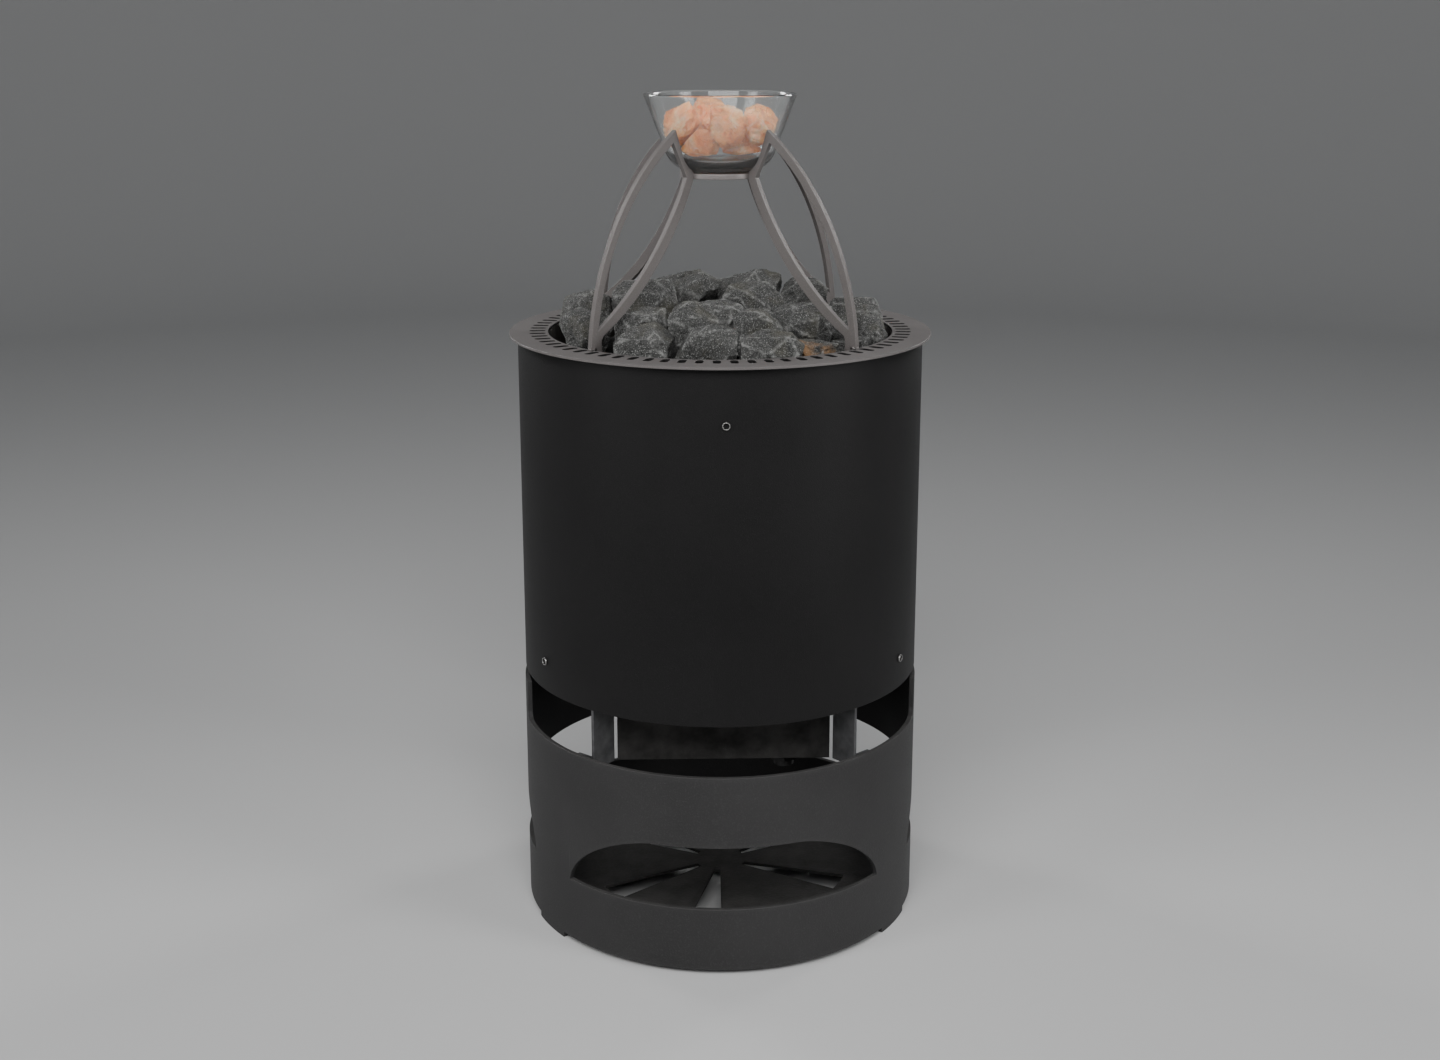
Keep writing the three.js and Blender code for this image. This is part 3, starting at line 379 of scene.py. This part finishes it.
bracket_zinc = zinc_sheet("bracket_zinc", (0.029, 0.029, 0.032), (0.048, 0.048, 0.053), rough=0.6)
dress(bracket_zinc, *(f"bracket_{i}" for i in range(1, 5)))
star_steel = coated("star_steel", (0.0095, 0.0092, 0.009), (0.016, 0.0156, 0.0153),
                    scale=300.0, depth=0.0005, rough=0.5, shine=0.3)
dress(star_steel, "star_plate")
dull_steel = coated("dull_steel", (0.016, 0.0155, 0.0155), (0.028, 0.027, 0.027),
                    scale=500.0, depth=0.0003, rough=0.55, shine=0.4)
dress(dull_steel, "carrier_plate", "heat_shield")
cover_coat = coated("cover_coat", (0.0028, 0.0028, 0.0028), (0.0045, 0.0045, 0.0045),
                    scale=800.0, depth=0.0002, rough=0.65, shine=0.06)
dress(cover_coat, "terminal_box", "terminal_cover")

block_ceramic, tree, shader = material("block_ceramic")
speckle = noise(tree, here(tree), 300.0, 5.0)
wire(shader, Base_Color=ramp(tree, speckle, (0.3, (0.62, 0.58, 0.5)), (0.7, (0.74, 0.71, 0.64))),
     Roughness=ramp(tree, speckle, (0.3, 0.6), (0.7, 0.8)))
dress(block_ceramic, "terminal_block")
gland_plastic, tree, shader = material("gland_plastic")
speckle = noise(tree, here(tree), 900.0, 2.0)
wire(shader, Base_Color=ramp(tree, speckle, (0.3, 0.012), (0.7, 0.025)),
     Roughness=ramp(tree, speckle, (0.3, 0.42), (0.7, 0.55)))
dress(gland_plastic, "cable_gland")


# Outer casing: a plain rolled drum in a fine dark powder coat, its edges broken round.
# Six eyelet-headed screws hold it to the spacers of the heat shield.
def rounded(corners, radius, steps=5):
    """Closed outline with each corner replaced by a quadratic curve that starts and ends a radius away."""
    corners = np.asarray(corners, float)
    before, after = np.roll(corners, 1, axis=0) - corners, np.roll(corners, -1, axis=0) - corners
    start = corners + before / np.linalg.norm(before, axis=1, keepdims=True) * radius
    end = corners + after / np.linalg.norm(after, axis=1, keepdims=True) * radius
    t = np.linspace(0, 1, steps)[None, :, None]
    curve = (1 - t) ** 2 * start[:, None] + 2 * t * (1 - t) * corners[:, None] + t ** 2 * end[:, None]
    return curve.reshape(-1, 2)


def ring_between(inner, outer, node, edge, segments):
    """Ring turned from a rectangle with broken edges, as high as its CAD node."""
    low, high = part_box(node)
    outline = rounded([(inner, low[2]), (outer, low[2]), (outer, high[2]), (inner, high[2])], edge)
    return lathe(outline, segments)


CASING_INNER, CASING_RADIUS, CASING_EDGE = 0.203, 0.205, 0.0008
casing_coat = coated("casing_coat", (0.0062, 0.006, 0.0062), (0.0085, 0.0082, 0.0084),
                     scale=1000.0, depth=0.00022, rough=0.5, shine=0.16)
casing_drum = ring_between(CASING_INNER, CASING_RADIUS, "outer_casing", CASING_EDGE, segments=320)
casing = piece_from("casing_shown", *casing_drum, casing_coat, "heater")
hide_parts("outer_casing")


def corners_of(mesh):
    """All points of a mesh as one array."""
    points = np.empty(len(mesh.vertices) * 3)
    mesh.vertices.foreach_get("co", points)
    return points.reshape(-1, 3)


def mark(piece, name, values):
    """Stores one number at each point of a piece, for its material to read."""
    piece.data.attributes.new(name, "FLOAT", "POINT").data.foreach_set("value", values.astype(np.float32))


def marked(tree, name):
    """The number that mark has stored at each point."""
    return put(tree, "ShaderNodeAttribute", {"attribute_name": name}).outputs["Fac"]


screw_steel, tree, shader = material("screw_steel")
scratch = noise(tree, here(tree), 1500.0, 2.0)
bright = ramp(tree, scratch, (0.3, (0.2, 0.195, 0.19)), (0.7, (0.32, 0.315, 0.31)))
# Painted shade: inside the eyelet the steel is coloured near black, standing in for the shade in its deep
# hole.
wire(shader, Base_Color=mix(tree, marked(tree, "painted_eyelet_shade"), bright, (0.002, 0.002, 0.002)),
     Roughness=ramp(tree, scratch, (0.3, 0.3), (0.7, 0.45)), Metallic=0.9)
# Radius and reach of the screw's outline in millimetres, from its tip to the bottom of its eyelet
SCREW = [(0.0, -9.6), (2.0, -9.6), (2.0, 0.05), (4.0, 0.05), (4.0, 0.7), (3.75, 1.5), (3.3, 1.9), (2.9, 1.6),
         (2.65, 0.9), (2.5, -1.2), (0.0, -1.2)]
HEAD_SEAT, EYELET_RADIUS, EYELET_REACH = 0.2053, 0.0027, 0.0011
UPPER_SCREWS, LOWER_SCREWS = 0.554, 0.291
UP = np.array([0, 0, 1.0])
turned, screw_faces = lathe(np.array(SCREW) / 1000, segments=40, closed=False)
screw_places = [(turn, UPPER_SCREWS) for turn in MOUTHS] + [(turn, LOWER_SCREWS) for turn in FEET]
for i, (turn, height) in enumerate(screw_places):
    out = round_tube(1.0, np.array(float(turn)), 0.0)
    along = round_tube(1.0, np.array(turn + 90.0), 0.0)
    points = turned[:, :1] * along + turned[:, 1:2] * UP + (turned[:, 2:] + HEAD_SEAT) * out + height * UP
    screw = piece_from(f"screw_{i + 1}", points, screw_faces, screw_steel, "heater")
    # The points inside the eyelet are marked for the painted shade in its hole.
    place = corners_of(screw.data)
    outward = place @ out
    across = np.linalg.norm(place - out * outward[:, None] - height * UP, axis=1)
    mark(screw, "painted_eyelet_shade", (across < EYELET_RADIUS) & (outward - HEAD_SEAT < EYELET_REACH))
    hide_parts(f"casing_screw_{i + 1}")


# Stone basket with its grate and the three tubular elements: stainless steel browned by the heat.
# The basket stands on the carrier plate under the rim ring, and the elements rise through the grate.
basket_steel, tree, shader = material("basket_steel")
where = here(tree)
stain = noise(tree, where, 14.0, 6.0)
drawn_out = put(tree, "ShaderNodeMapping", Vector=where, Scale=(20.0, 20.0, 0.6)).outputs[0]
streak = noise(tree, drawn_out, 30.0, 3.0)
colour = ramp(tree, stain, (0.3, (0.03, 0.026, 0.022)), (0.55, (0.07, 0.064, 0.058)),
              (0.8, (0.1, 0.095, 0.09)))
colour = mix(tree, ramp(tree, streak, (0.4, 0.0), (0.8, 0.5)), colour, (0.02, 0.019, 0.018))
wire(shader, Base_Color=colour, Roughness=ramp(tree, streak, (0.3, 0.4), (0.7, 0.6)),
     Normal=bumped(tree, streak, 0.3, 0.0003), Metallic=0.8)
dress(basket_steel, "stone_basket", "stone_grate", *(f"heating_element_{i}" for i in range(1, 4)))


# Rim ring: flat ring with radial air slots in a warm grey baked coat, with painted shade on the walls of the
# slots.
# It lies on the top edges of basket and casing and covers the air channel between them.
RIM_INNER, RIM_RADIUS, RIM_TOP, RIM_WALL, RIM_EDGE = 0.1743, 0.2134, 0.610, 0.0025, 0.0004
SLOT_IN, SLOT_OUT, SLOT_HALF, SLOTS = 0.1768, 0.1932, 0.0037, 72
INNER_BORDER, SLOT_BORDER = 0.0012, 0.0028
rim_coat = coated("rim_coat", (0.099, 0.0905, 0.089), (0.117, 0.108, 0.106),
                  scale=1300.0, depth=0.00007, rough=0.5, shine=0.4, wear=(0.24, 0.225, 0.22), metal=0.15)
tree = rim_coat.node_tree
shader = next(n for n in tree.nodes if n.type == "BSDF_PRINCIPLED")
coat = shader.inputs["Base Color"].links[0].from_socket
# Painted shade: on the upright walls of the slots the coat is blended to near black, as if they lay in shade.
flat = put(tree, "ShaderNodeVectorMath", {"operation": "MULTIPLY"}, i0=here(tree), i1=(1.0, 1.0, 0.0))
outward = put(tree, "ShaderNodeVectorMath", {"operation": "LENGTH"}, i0=flat.outputs[0]).outputs["Value"]
slot_part = put(tree, "ShaderNodeMath", {"operation": "LESS_THAN"}, i0=outward, i1=SLOT_OUT + RIM_EDGE)
upright = ramp(tree, facing_up(tree), (0.45, 1.0), (0.75, 0.0))
slot_wall_painted_shade = times(tree, slot_part.outputs[0], upright)
wire(shader, Base_Color=mix(tree, slot_wall_painted_shade, coat, (0.008, 0.0075, 0.0075)))

bend = SLOT_HALF * (1 - np.cos(np.linspace(0, math.pi / 2, 7)))
radius = np.r_[RIM_INNER, RIM_INNER + INNER_BORDER, SLOT_IN + bend, (SLOT_IN + SLOT_OUT) / 2,
               (SLOT_OUT - bend)[::-1], np.linspace(SLOT_OUT + SLOT_BORDER, RIM_RADIUS, 6)]
depth_in = np.clip(np.minimum(radius - SLOT_IN, SLOT_OUT - radius) / SLOT_HALF, 0, 1)
half = SLOT_HALF * np.sqrt(1 - (1 - depth_in) ** 2)
lean = np.degrees(np.arcsin(half / radius))
half_pitch = 180 / SLOTS
side = np.full(len(radius), half_pitch)
curves = [round_tube(radius, turn, RIM_TOP) for turn in (-side, -lean, lean, side)]
sector, sector_faces = split_sheet(*curves, across=4)
spin = np.radians(half_pitch * (1 + 2 * np.arange(SLOTS)))[:, None]
x, y, z = sector.T
ring = np.stack([np.cos(spin) * x - np.sin(spin) * y, np.sin(spin) * x + np.cos(spin) * y,
                 np.tile(z, (SLOTS, 1))], axis=-1).reshape(-1, 3)
ring_faces = (sector_faces + (np.arange(SLOTS) * len(sector))[:, None, None]).reshape(-1, 4)
rim = thick_sheet("rim_ring_shown", (ring, ring_faces), rim_coat, "heater",
                  wall=RIM_WALL, side=-1, edge=RIM_EDGE)
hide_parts("rim_ring")


# Stones: broken dark igneous rock with pale crystals, edges lighter from chipping and from a painted
# highlight, and one rusty piece.
# They lie loose in the basket and heap up over the rim ring.
STRIDES, STIR, LOW_BITS = np.array([374761393, 668265263, 2147483647]), 1274126177, 0xFFFFFFFF
LAYERS, FADE, LAYER_SHIFT = 3, 0.52, 11.3


def lattice_noise(points, seed):
    """Smooth noise in -1..1: random values on a unit lattice, blended by a cubic between eight corners."""
    cell = np.floor(points).astype(np.int64)
    part = points - cell
    part = part * part * (3 - 2 * part)
    total = np.zeros(len(points))
    for corner in np.ndindex(2, 2, 2):
        mixed = ((cell + corner) @ STRIDES + seed * STIR) & LOW_BITS
        mixed = ((mixed ^ (mixed >> 13)) * STIR) & LOW_BITS
        value = ((mixed ^ (mixed >> 16)) & 0xFFFF) / 32767.5 - 1
        total += value * np.prod(np.where(np.array(corner) == 1, part, 1 - part), axis=1)
    return total


def layered_noise(points, seed):
    """Sum of noises, each twice as fine and about half as strong as the one before."""
    return sum(FADE ** k * lattice_noise(points * 2 ** k + LAYER_SHIFT * k, seed + k) for k in range(LAYERS))


def unit(ways):
    """Directions brought to length one."""
    return ways / np.linalg.norm(ways, axis=1, keepdims=True)


def ball(level):
    """Unit directions and triangles of an evenly divided ball."""
    mesh = bpy.data.meshes.new("ball")
    work = bmesh.new()
    bmesh.ops.create_icosphere(work, subdivisions=level, radius=1.0)
    work.to_mesh(mesh)
    work.free()
    points, faces = corners_of(mesh), np.empty(len(mesh.loops), np.int32)
    mesh.loops.foreach_get("vertex_index", faces)
    bpy.data.meshes.remove(mesh)
    return unit(points), faces.reshape(-1, 3)


# Faces under SLIVER, in square metres, aren't sides. No side comes nearer the middle than LEAST_REACH.
SLIVER, LEAST_REACH = 2e-7, 0.006


def flat_sides(node):
    """Middle of a CAD lump, its corners, and its sides but for slivers, as directions and distances."""
    mesh = nodes[node].data
    corners = corners_of(mesh)
    middle = (corners.min(0) + corners.max(0)) / 2
    count = len(mesh.polygons)
    normals, centres, areas = np.empty(count * 3), np.empty(count * 3), np.empty(count)
    mesh.polygons.foreach_get("normal", normals)
    mesh.polygons.foreach_get("center", centres)
    mesh.polygons.foreach_get("area", areas)
    whole = areas > SLIVER
    normals = normals.reshape(-1, 3)[whole]
    reach = ((centres.reshape(-1, 3)[whole] - middle) * normals).sum(1)
    return middle, corners - middle, normals, np.maximum(reach, LEAST_REACH)


# The power BLUNT sets how sharp the edges are. Planes with a cosine over SAME_SIDE count as one side.
BALL, BLUNT, SAME_SIDE, EDGE_SHARE, CREASE = ball(5), 220, 0.95, 0.03, 24
TOUCHES, CHIP_SPREAD, CHIP_MOST = 8, (1.0, 1.0, 0.6), 0.94
WARP_SCALE, WARP_SHIFT, COARSE_SCALE, FINE_SCALE = 1.9, 5.1, 4.2, 15.0
BROKEN_ALL, BROKEN_COARSE, BROKEN_FINE = 0.2, 1.6, 0.35


def broken_lump(name, node, body, look, seed, chips, least, waver, rough):
    """Lump between the sides of its CAD node, planes laid against the node from all round, and a few
    chipped-off corners: the distance along each direction is the blunted least distance to a plane, with the
    directions wavered so that edges wander but never past a plane, less noise for the broken face."""
    rng = np.random.default_rng(seed)
    way, faces = BALL
    middle, corners, normal, reach = flat_sides(node)
    chip = unit(rng.normal(size=(chips, 3)) * np.array(CHIP_SPREAD))
    touch = unit(np.vstack([np.eye(3), -np.eye(3), rng.normal(size=(TOUCHES, 3))]))
    normal = np.vstack([normal, touch, chip])
    chip_reach = (corners @ chip.T).max(0) * rng.uniform(least, CHIP_MOST, chips)
    reach = np.r_[reach, (corners @ touch.T).max(0), chip_reach]
    warp = [layered_noise(way * WARP_SCALE + WARP_SHIFT * k, seed + 20 * k) for k in range(3)]
    near = np.maximum(unit(way + waver * np.stack(warp, axis=1)) @ normal.T, 0) / reach
    most = near.max(1, keepdims=True)
    distance = ((near / most) ** BLUNT).sum(1) ** (-1 / BLUNT) / most[:, 0]
    distance = np.minimum(distance, 1 / (np.maximum(way @ normal.T, 0) / reach).max(1))
    coarse = np.abs(layered_noise(way * COARSE_SCALE, seed + 71))
    fine = np.abs(layered_noise(way * FINE_SCALE, seed + 93))
    distance = distance - rough * (BROKEN_ALL + BROKEN_COARSE * coarse + BROKEN_FINE * fine)
    piece = piece_from(name, middle + way * distance[:, None], faces, look, body)
    piece.data.set_sharp_from_angle(angle=math.radians(CREASE))
    other = np.where(normal[near.argmax(1)] @ normal.T > SAME_SIDE, 0, near).max(1)
    mark(piece, "edge", np.clip((other / most[:, 0] - (1 - EDGE_SHARE)) / EDGE_SHARE, 0, 1))
    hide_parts(node)


ROCK_SHADES = (0.031, 0.0312, 0.0303), (0.051, 0.0512, 0.0495), (0.079, 0.0785, 0.0755)
BLACK_CRYSTAL, OLIVE = (0.013, 0.0135, 0.013), (0.085, 0.078, 0.055)
RUST, PALE_RUST = (0.36, 0.2, 0.09), (0.58, 0.45, 0.28)


def rock_look(name, rust, tone=1.0):
    """Dark rock: soft blotches, pale and black crystals, edges lightened as paler chipped rock and a painted
    highlight, and rust on the rusty piece.
    """
    made, tree, shader = material(name)
    where = here(tree)
    dark, middling, light = (toned(shade, tone) for shade in ROCK_SHADES)
    grain = noise(tree, where, 800.0, 4.0, 0.75)
    cells = put(tree, "ShaderNodeTexVoronoi", Vector=where, Scale=1400.0).outputs["Color"]
    pick = put(tree, "ShaderNodeSeparateColor", Color=cells).outputs[1]
    colour = ramp(tree, noise(tree, where, 17.0, 6.0, 0.6), (0.3, dark), (0.5, middling), (0.72, light))
    colour = mix(tree, ramp(tree, grain, (0.53, 0.0), (0.68, 0.68)), colour, toned(middling, 4.2))
    colour = mix(tree, ramp(tree, grain, (0.36, 0.8), (0.47, 0.0)), colour, BLACK_CRYSTAL)
    colour = mix(tree, ramp(tree, pick, (0.9, 0.0), (0.96, 0.6)), colour, toned(middling, 7.0))
    # Along the edges the rock is painted lighter: partly paler chipped rock, partly a painted highlight on
    # the ridges.
    chips_and_highlight = ramp(tree, noise(tree, where, 75.0, 5.0), (0.4, 0.0), (0.58, 0.8))
    colour = mix(tree, times(tree, marked(tree, "edge"), chips_and_highlight), colour, toned(middling, 6.0))
    film = ramp(tree, noise(tree, where, 31.0, 4.0), (0.52, 0.0), (0.68, 0.45))
    colour = mix(tree, film, colour, toned(OLIVE, tone))
    if rust:
        spot = noise(tree, where, 24.0, 5.0)
        colour = mix(tree, ramp(tree, spot, (0.46, 0.0), (0.6, 0.8)), colour, RUST)
        colour = mix(tree, ramp(tree, spot, (0.6, 0.0), (0.7, 0.8)), colour, PALE_RUST)
    height = put(tree, "ShaderNodeMath", {"operation": "ADD"}, i0=grain, i1=noise(tree, where, 130.0, 5.0))
    wire(shader, Base_Color=colour, Roughness=ramp(tree, grain, (0.3, 0.95), (0.7, 0.75)),
         Normal=bumped(tree, height.outputs[0], 0.9, 0.0018), Specular_IOR_Level=0.3)
    return made


STONES, RUSTY_STONE = 22, 16
plain_rock, rusty_rock = rock_look("sauna_rock", False), rock_look("rusty_rock", True)
for i in range(1, STONES + 1):
    look, chips = (rusty_rock, 1) if i == RUSTY_STONE else (plain_rock, 5)
    broken_lump(f"rock_{i:02d}", f"stone_{i:02d}", "heater", look, seed=100 + 7 * i, chips=chips,
                least=0.6, waver=0.014, rough=0.0016)
# Painted shade: the bed of rock under the loose stones has a fifth of their tone, standing in for the shade
# in the gaps between them.
dress(rock_look("bed_rock_painted_shade", False, tone=0.2), "stone_bed")


# Stand: four leaf-shaped plate legs in a warm grey baked coat, and the seat ring that they hold, in a copy of
# that coat painted lighter for the light that falls on it.
# It stands loose on the rim ring, its tongues inside the ring's opening, and can be lifted off with its bowl.
def bowed(a, b, bow, count):
    """Points of a circular arc from a to b that stands out to the left of its way by the bow."""
    a, b = np.asarray(a, float), np.asarray(b, float)
    chord = np.linalg.norm(b - a)
    along = (b - a) / chord
    left = np.array([-along[1], along[0]])
    radius = (chord ** 2 / 4 + bow ** 2) / (2 * abs(bow))
    turn = math.asin(chord / 2 / radius) * np.linspace(-1, 1, count)[:, None]
    rise = math.copysign(1, bow) * (abs(bow) - radius * (1 - np.cos(turn)))
    return a + along * (chord / 2 + radius * np.sin(turn)) + left * rise


def respaced(curve, count):
    """The same curve with its points set at even distances along it."""
    curve = np.asarray(curve, float)
    way = np.r_[0, np.cumsum(np.linalg.norm(np.diff(curve, axis=0), axis=1))]
    at = np.linspace(0, way[-1], count)
    return np.stack([np.interp(at, way, curve[:, k]) for k in range(2)], axis=1)


def at_height(curve, height):
    """Number of the point of a curve that is nearest to a height."""
    return int(np.argmin(np.abs(curve[:, 1] - height)))


BOWL_RADIUS, BOWL_FOOT, BOWL_TOP, BOWL_SLOPE, BOWL_CORNER = 0.0762, 0.7691, 0.8458, 0.37, 0.028
ROOM = 0.0006
tilt = math.atan(BOWL_SLOPE)
wall_turn = math.pi / 2 - tilt
bowl_flat = BOWL_RADIUS - (BOWL_TOP - BOWL_FOOT) * BOWL_SLOPE - BOWL_CORNER * math.tan(wall_turn / 2)


def beside_bowl(z):
    """Radius of the cradle where it follows the bowl's straight wall."""
    return BOWL_RADIUS + ROOM * math.cos(tilt) - (BOWL_TOP - ROOM * math.sin(tilt) - z) * BOWL_SLOPE


# A leg stands on the ring with its tongue below, forks into two blades round the leaf-shaped opening,
# and the blades meet again at the crown of the opening, under the tip. Places are (radius, height),
# starts and the fork's height are measured from the foot, and a run is a count of points.
LEG_WALL, LEG_EDGE, LEG_TURNS = 0.005, 0.0004, (45.0, 135.0, 225.0, 315.0)
LEG_FOOT, LEG_OUT, LEG_IN, TONGUE_OUT, TONGUE_DEPTH = 0.6103, 0.180, 0.166, 0.1725, 0.007
OUTER_BOW, INNER_BOW, OPENING_OUTER_BOW, OPENING_INNER_BOW = -0.0267, 0.0158, -0.0206, 0.0131
TIP, CROWN, CROWN_WEB, CRADLE_START = 0.8123, 0.7998, 0.008, 0.0413
OUTER_START, INNER_START, FORK_HEIGHT, FORK_RADIUS = 0.001, 0.011, 0.018, 0.170
FORK_ROW_RISE, CROWN_ROW_RISE, FOOT_ROW_OUT, FOOT_ROW_IN = 0.003, 0.002, 0.0002, -0.0005
SHORT_RUN, BLADE_RUN, LOWER_RUN = 8, 66, 44
CRADLE_RUN = BLADE_RUN - LOWER_RUN + 1
seat_side = (0.0403, 0.7633)
fork = (FORK_RADIUS, LEG_FOOT + FORK_HEIGHT)
root = (0.0498, 0.7653)
cradle_top = (beside_bowl(CROWN), CROWN)
crown = (beside_bowl(CROWN) + CROWN_WEB, CROWN)
tip = (beside_bowl(TIP), TIP)
knee = [(TONGUE_OUT, LEG_FOOT), fork]
outer_arc = bowed((LEG_OUT, LEG_FOOT + OUTER_START), tip, OUTER_BOW, count=80)
outer = np.vstack([[(LEG_OUT, LEG_FOOT)], outer_arc])
inner = bowed((LEG_IN, LEG_FOOT + INNER_START), seat_side, INNER_BOW, count=70)
start = math.asin((CRADLE_START - bowl_flat) / (BOWL_CORNER + ROOM))
corner = arc(BOWL_CORNER + ROOM, (bowl_flat, BOWL_FOOT + BOWL_CORNER), np.linspace(start, wall_turn, 14))
cradle = np.vstack([[seat_side, (seat_side[0], BOWL_FOOT)], corner, [cradle_top]])
outer_fork, outer_crown = at_height(outer, fork[1]), at_height(outer, CROWN + CROWN_ROW_RISE)
inner_fork = at_height(inner, fork[1] + FORK_ROW_RISE)
foot_run = np.vstack([[(LEG_IN, LEG_FOOT)], inner[:inner_fork + 1]])
edge_a = np.vstack([[outer[0]], respaced(outer[:outer_fork + 1], SHORT_RUN),
                    respaced(outer[outer_fork:outer_crown + 1], BLADE_RUN)[1:],
                    respaced(outer[outer_crown:], SHORT_RUN)[1:]])
lip_a = np.vstack([[knee[0]], respaced(knee, SHORT_RUN), bowed(fork, crown, OPENING_OUTER_BOW, BLADE_RUN)[1:],
                   respaced([crown, tip], SHORT_RUN)[1:]])
lip_b = np.vstack([[(TONGUE_OUT, LEG_FOOT - TONGUE_DEPTH)], respaced(knee, SHORT_RUN),
                   bowed(fork, root, OPENING_INNER_BOW, LOWER_RUN)[1:],
                   respaced([root, crown], CRADLE_RUN)[1:], respaced([crown, tip], SHORT_RUN)[1:]])
edge_b = np.vstack([[(LEG_IN, LEG_FOOT - TONGUE_DEPTH)], respaced(foot_run, SHORT_RUN),
                    respaced(inner[inner_fork:], LOWER_RUN)[1:], respaced(cradle, CRADLE_RUN)[1:],
                    respaced([cradle_top, tip], SHORT_RUN)[1:]])
# The row at the height of the foot is slanted a little, so that it doesn't fall on the outer corner
edge_a[1], edge_b[1] = (LEG_OUT, LEG_FOOT + FOOT_ROW_OUT), (LEG_IN, LEG_FOOT + FOOT_ROW_IN)
stand_coat = coated("stand_coat", (0.1, 0.0905, 0.0875), (0.12, 0.1095, 0.106),
                    scale=1300.0, depth=0.00007, rough=0.44, shine=0.5, wear=(0.27, 0.255, 0.25), metal=0.2)
for i, turn in enumerate(LEG_TURNS):
    curves = [round_tube(curve[:, 0], np.full(len(curve), turn), curve[:, 1])
              for curve in (edge_a, lip_a, lip_b, edge_b)]
    leg = thick_sheet(f"leg_{i + 1}_shown", split_sheet(*curves, across=4), stand_coat, "stand",
                      wall=LEG_WALL, side=0, edge=LEG_EDGE)
    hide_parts(f"stand_leg_{i + 1}")

SEAT_HOLE, SEAT_RADIUS, SEAT_EDGE = 0.018, 0.040, 0.0008
# Painted light: the seat ring's coat is the stand's coat made about 1.6 times lighter, for the light the ring
# catches.
painted_light_seat_coat = coated("painted_light_seat_coat", (0.165, 0.15, 0.146), (0.2, 0.183, 0.178),
                   scale=1300.0, depth=0.00007, rough=0.36, shine=0.5, wear=(0.3, 0.285, 0.28), metal=0.3)
seat_ring = ring_between(SEAT_HOLE, SEAT_RADIUS, "stand_seat_ring", SEAT_EDGE, segments=128)
seat = piece_from("seat_ring_shown", *seat_ring, painted_light_seat_coat, "stand")
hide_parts("stand_seat_ring")


# Glass bowl: thick pressed glass, conical with a rounded heavy base, set loose in the stand.
# Its outside follows the cradle of the legs and its rim is fire-polished round.
GLASS_WALL, GLASS_FLOOR, INNER_CORNER = 0.004, 0.009, 0.022
floor_top = BOWL_FOOT + GLASS_FLOOR
turn = np.linspace(0, wall_turn, 14)
outside = arc(BOWL_CORNER, (bowl_flat, BOWL_FOOT + BOWL_CORNER), turn)
inner_foot = BOWL_RADIUS - GLASS_WALL / math.cos(tilt) - (BOWL_TOP - floor_top) * BOWL_SLOPE
inner_flat = inner_foot - INNER_CORNER * math.tan(wall_turn / 2)
inside = arc(INNER_CORNER, (inner_flat, floor_top + INNER_CORNER), turn)
lip = GLASS_WALL / 2 / math.cos(tilt)
lip_round = arc(lip, (BOWL_RADIUS - lip, BOWL_TOP - lip), np.linspace(math.pi / 2, 3 * math.pi / 2, 12))
profile = np.vstack([[(0.0, BOWL_FOOT)], outside, lip_round, inside[::-1], [(0.0, floor_top)]])
clear_glass, tree, shader = material("clear_glass")
wire(shader, Base_Color=(0.97, 0.985, 0.985, 1), Transmission_Weight=0.97, IOR=1.47,
     Roughness=ramp(tree, noise(tree, here(tree), 35.0), (0.4, 0.005), (0.75, 0.05)))
bowl = piece_from("bowl_shown", *lathe(profile, segments=192, closed=False), clear_glass, "bowl")
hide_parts("glass_bowl")


# Salt: broken lumps of pink and orange rock salt, cloudy and slightly see-through.
# They fill the bowl loosely nearly to its rim and are lifted off with it.
SALT_LUMPS = 6
rock_salt, tree, shader = material("rock_salt")
where = here(tree)
cloud = noise(tree, where, 60.0, 5.0)
colour = ramp(tree, noise(tree, where, 30.0, 6.0, 0.62), (0.34, (0.62, 0.17, 0.045)),
              (0.47, (1.0, 0.4, 0.15)), (0.64, (1.0, 0.58, 0.32)))
crystals = put(tree, "ShaderNodeTexVoronoi", Vector=where, Scale=110.0)
crystal = put(tree, "ShaderNodeSeparateColor", Color=crystals.outputs["Color"]).outputs[0]
colour = mix(tree, ramp(tree, crystal, (0.55, 0.0), (0.9, 0.55)), colour, (0.66, 0.27, 0.11))
colour = mix(tree, ramp(tree, cloud, (0.56, 0.0), (0.76, 0.45)), colour, (1.0, 0.75, 0.57))
frosted = times(tree, marked(tree, "edge"), ramp(tree, cloud, (0.4, 0.0), (0.6, 0.5)))
colour = mix(tree, frosted, colour, (0.97, 0.8, 0.7))
facets = times(tree, crystals.outputs["Distance"], 1.6)
height = put(tree, "ShaderNodeMath", {"operation": "ADD"}, i0=noise(tree, where, 170.0, 4.0), i1=facets)
wire(shader, Base_Color=colour, Roughness=ramp(tree, cloud, (0.35, 0.28), (0.7, 0.6)),
     Normal=bumped(tree, height.outputs[0], 0.8, 0.0022), Transmission_Weight=0.05,
     Subsurface_Weight=0.6, Subsurface_Radius=(1.0, 0.45, 0.25), Subsurface_Scale=0.01)
for i in range(1, SALT_LUMPS + 1):
    broken_lump(f"salt_{i}", f"salt_lump_{i}", "bowl", rock_salt, seed=300 + 9 * i, chips=15,
                least=0.62, waver=0.04, rough=0.0016)
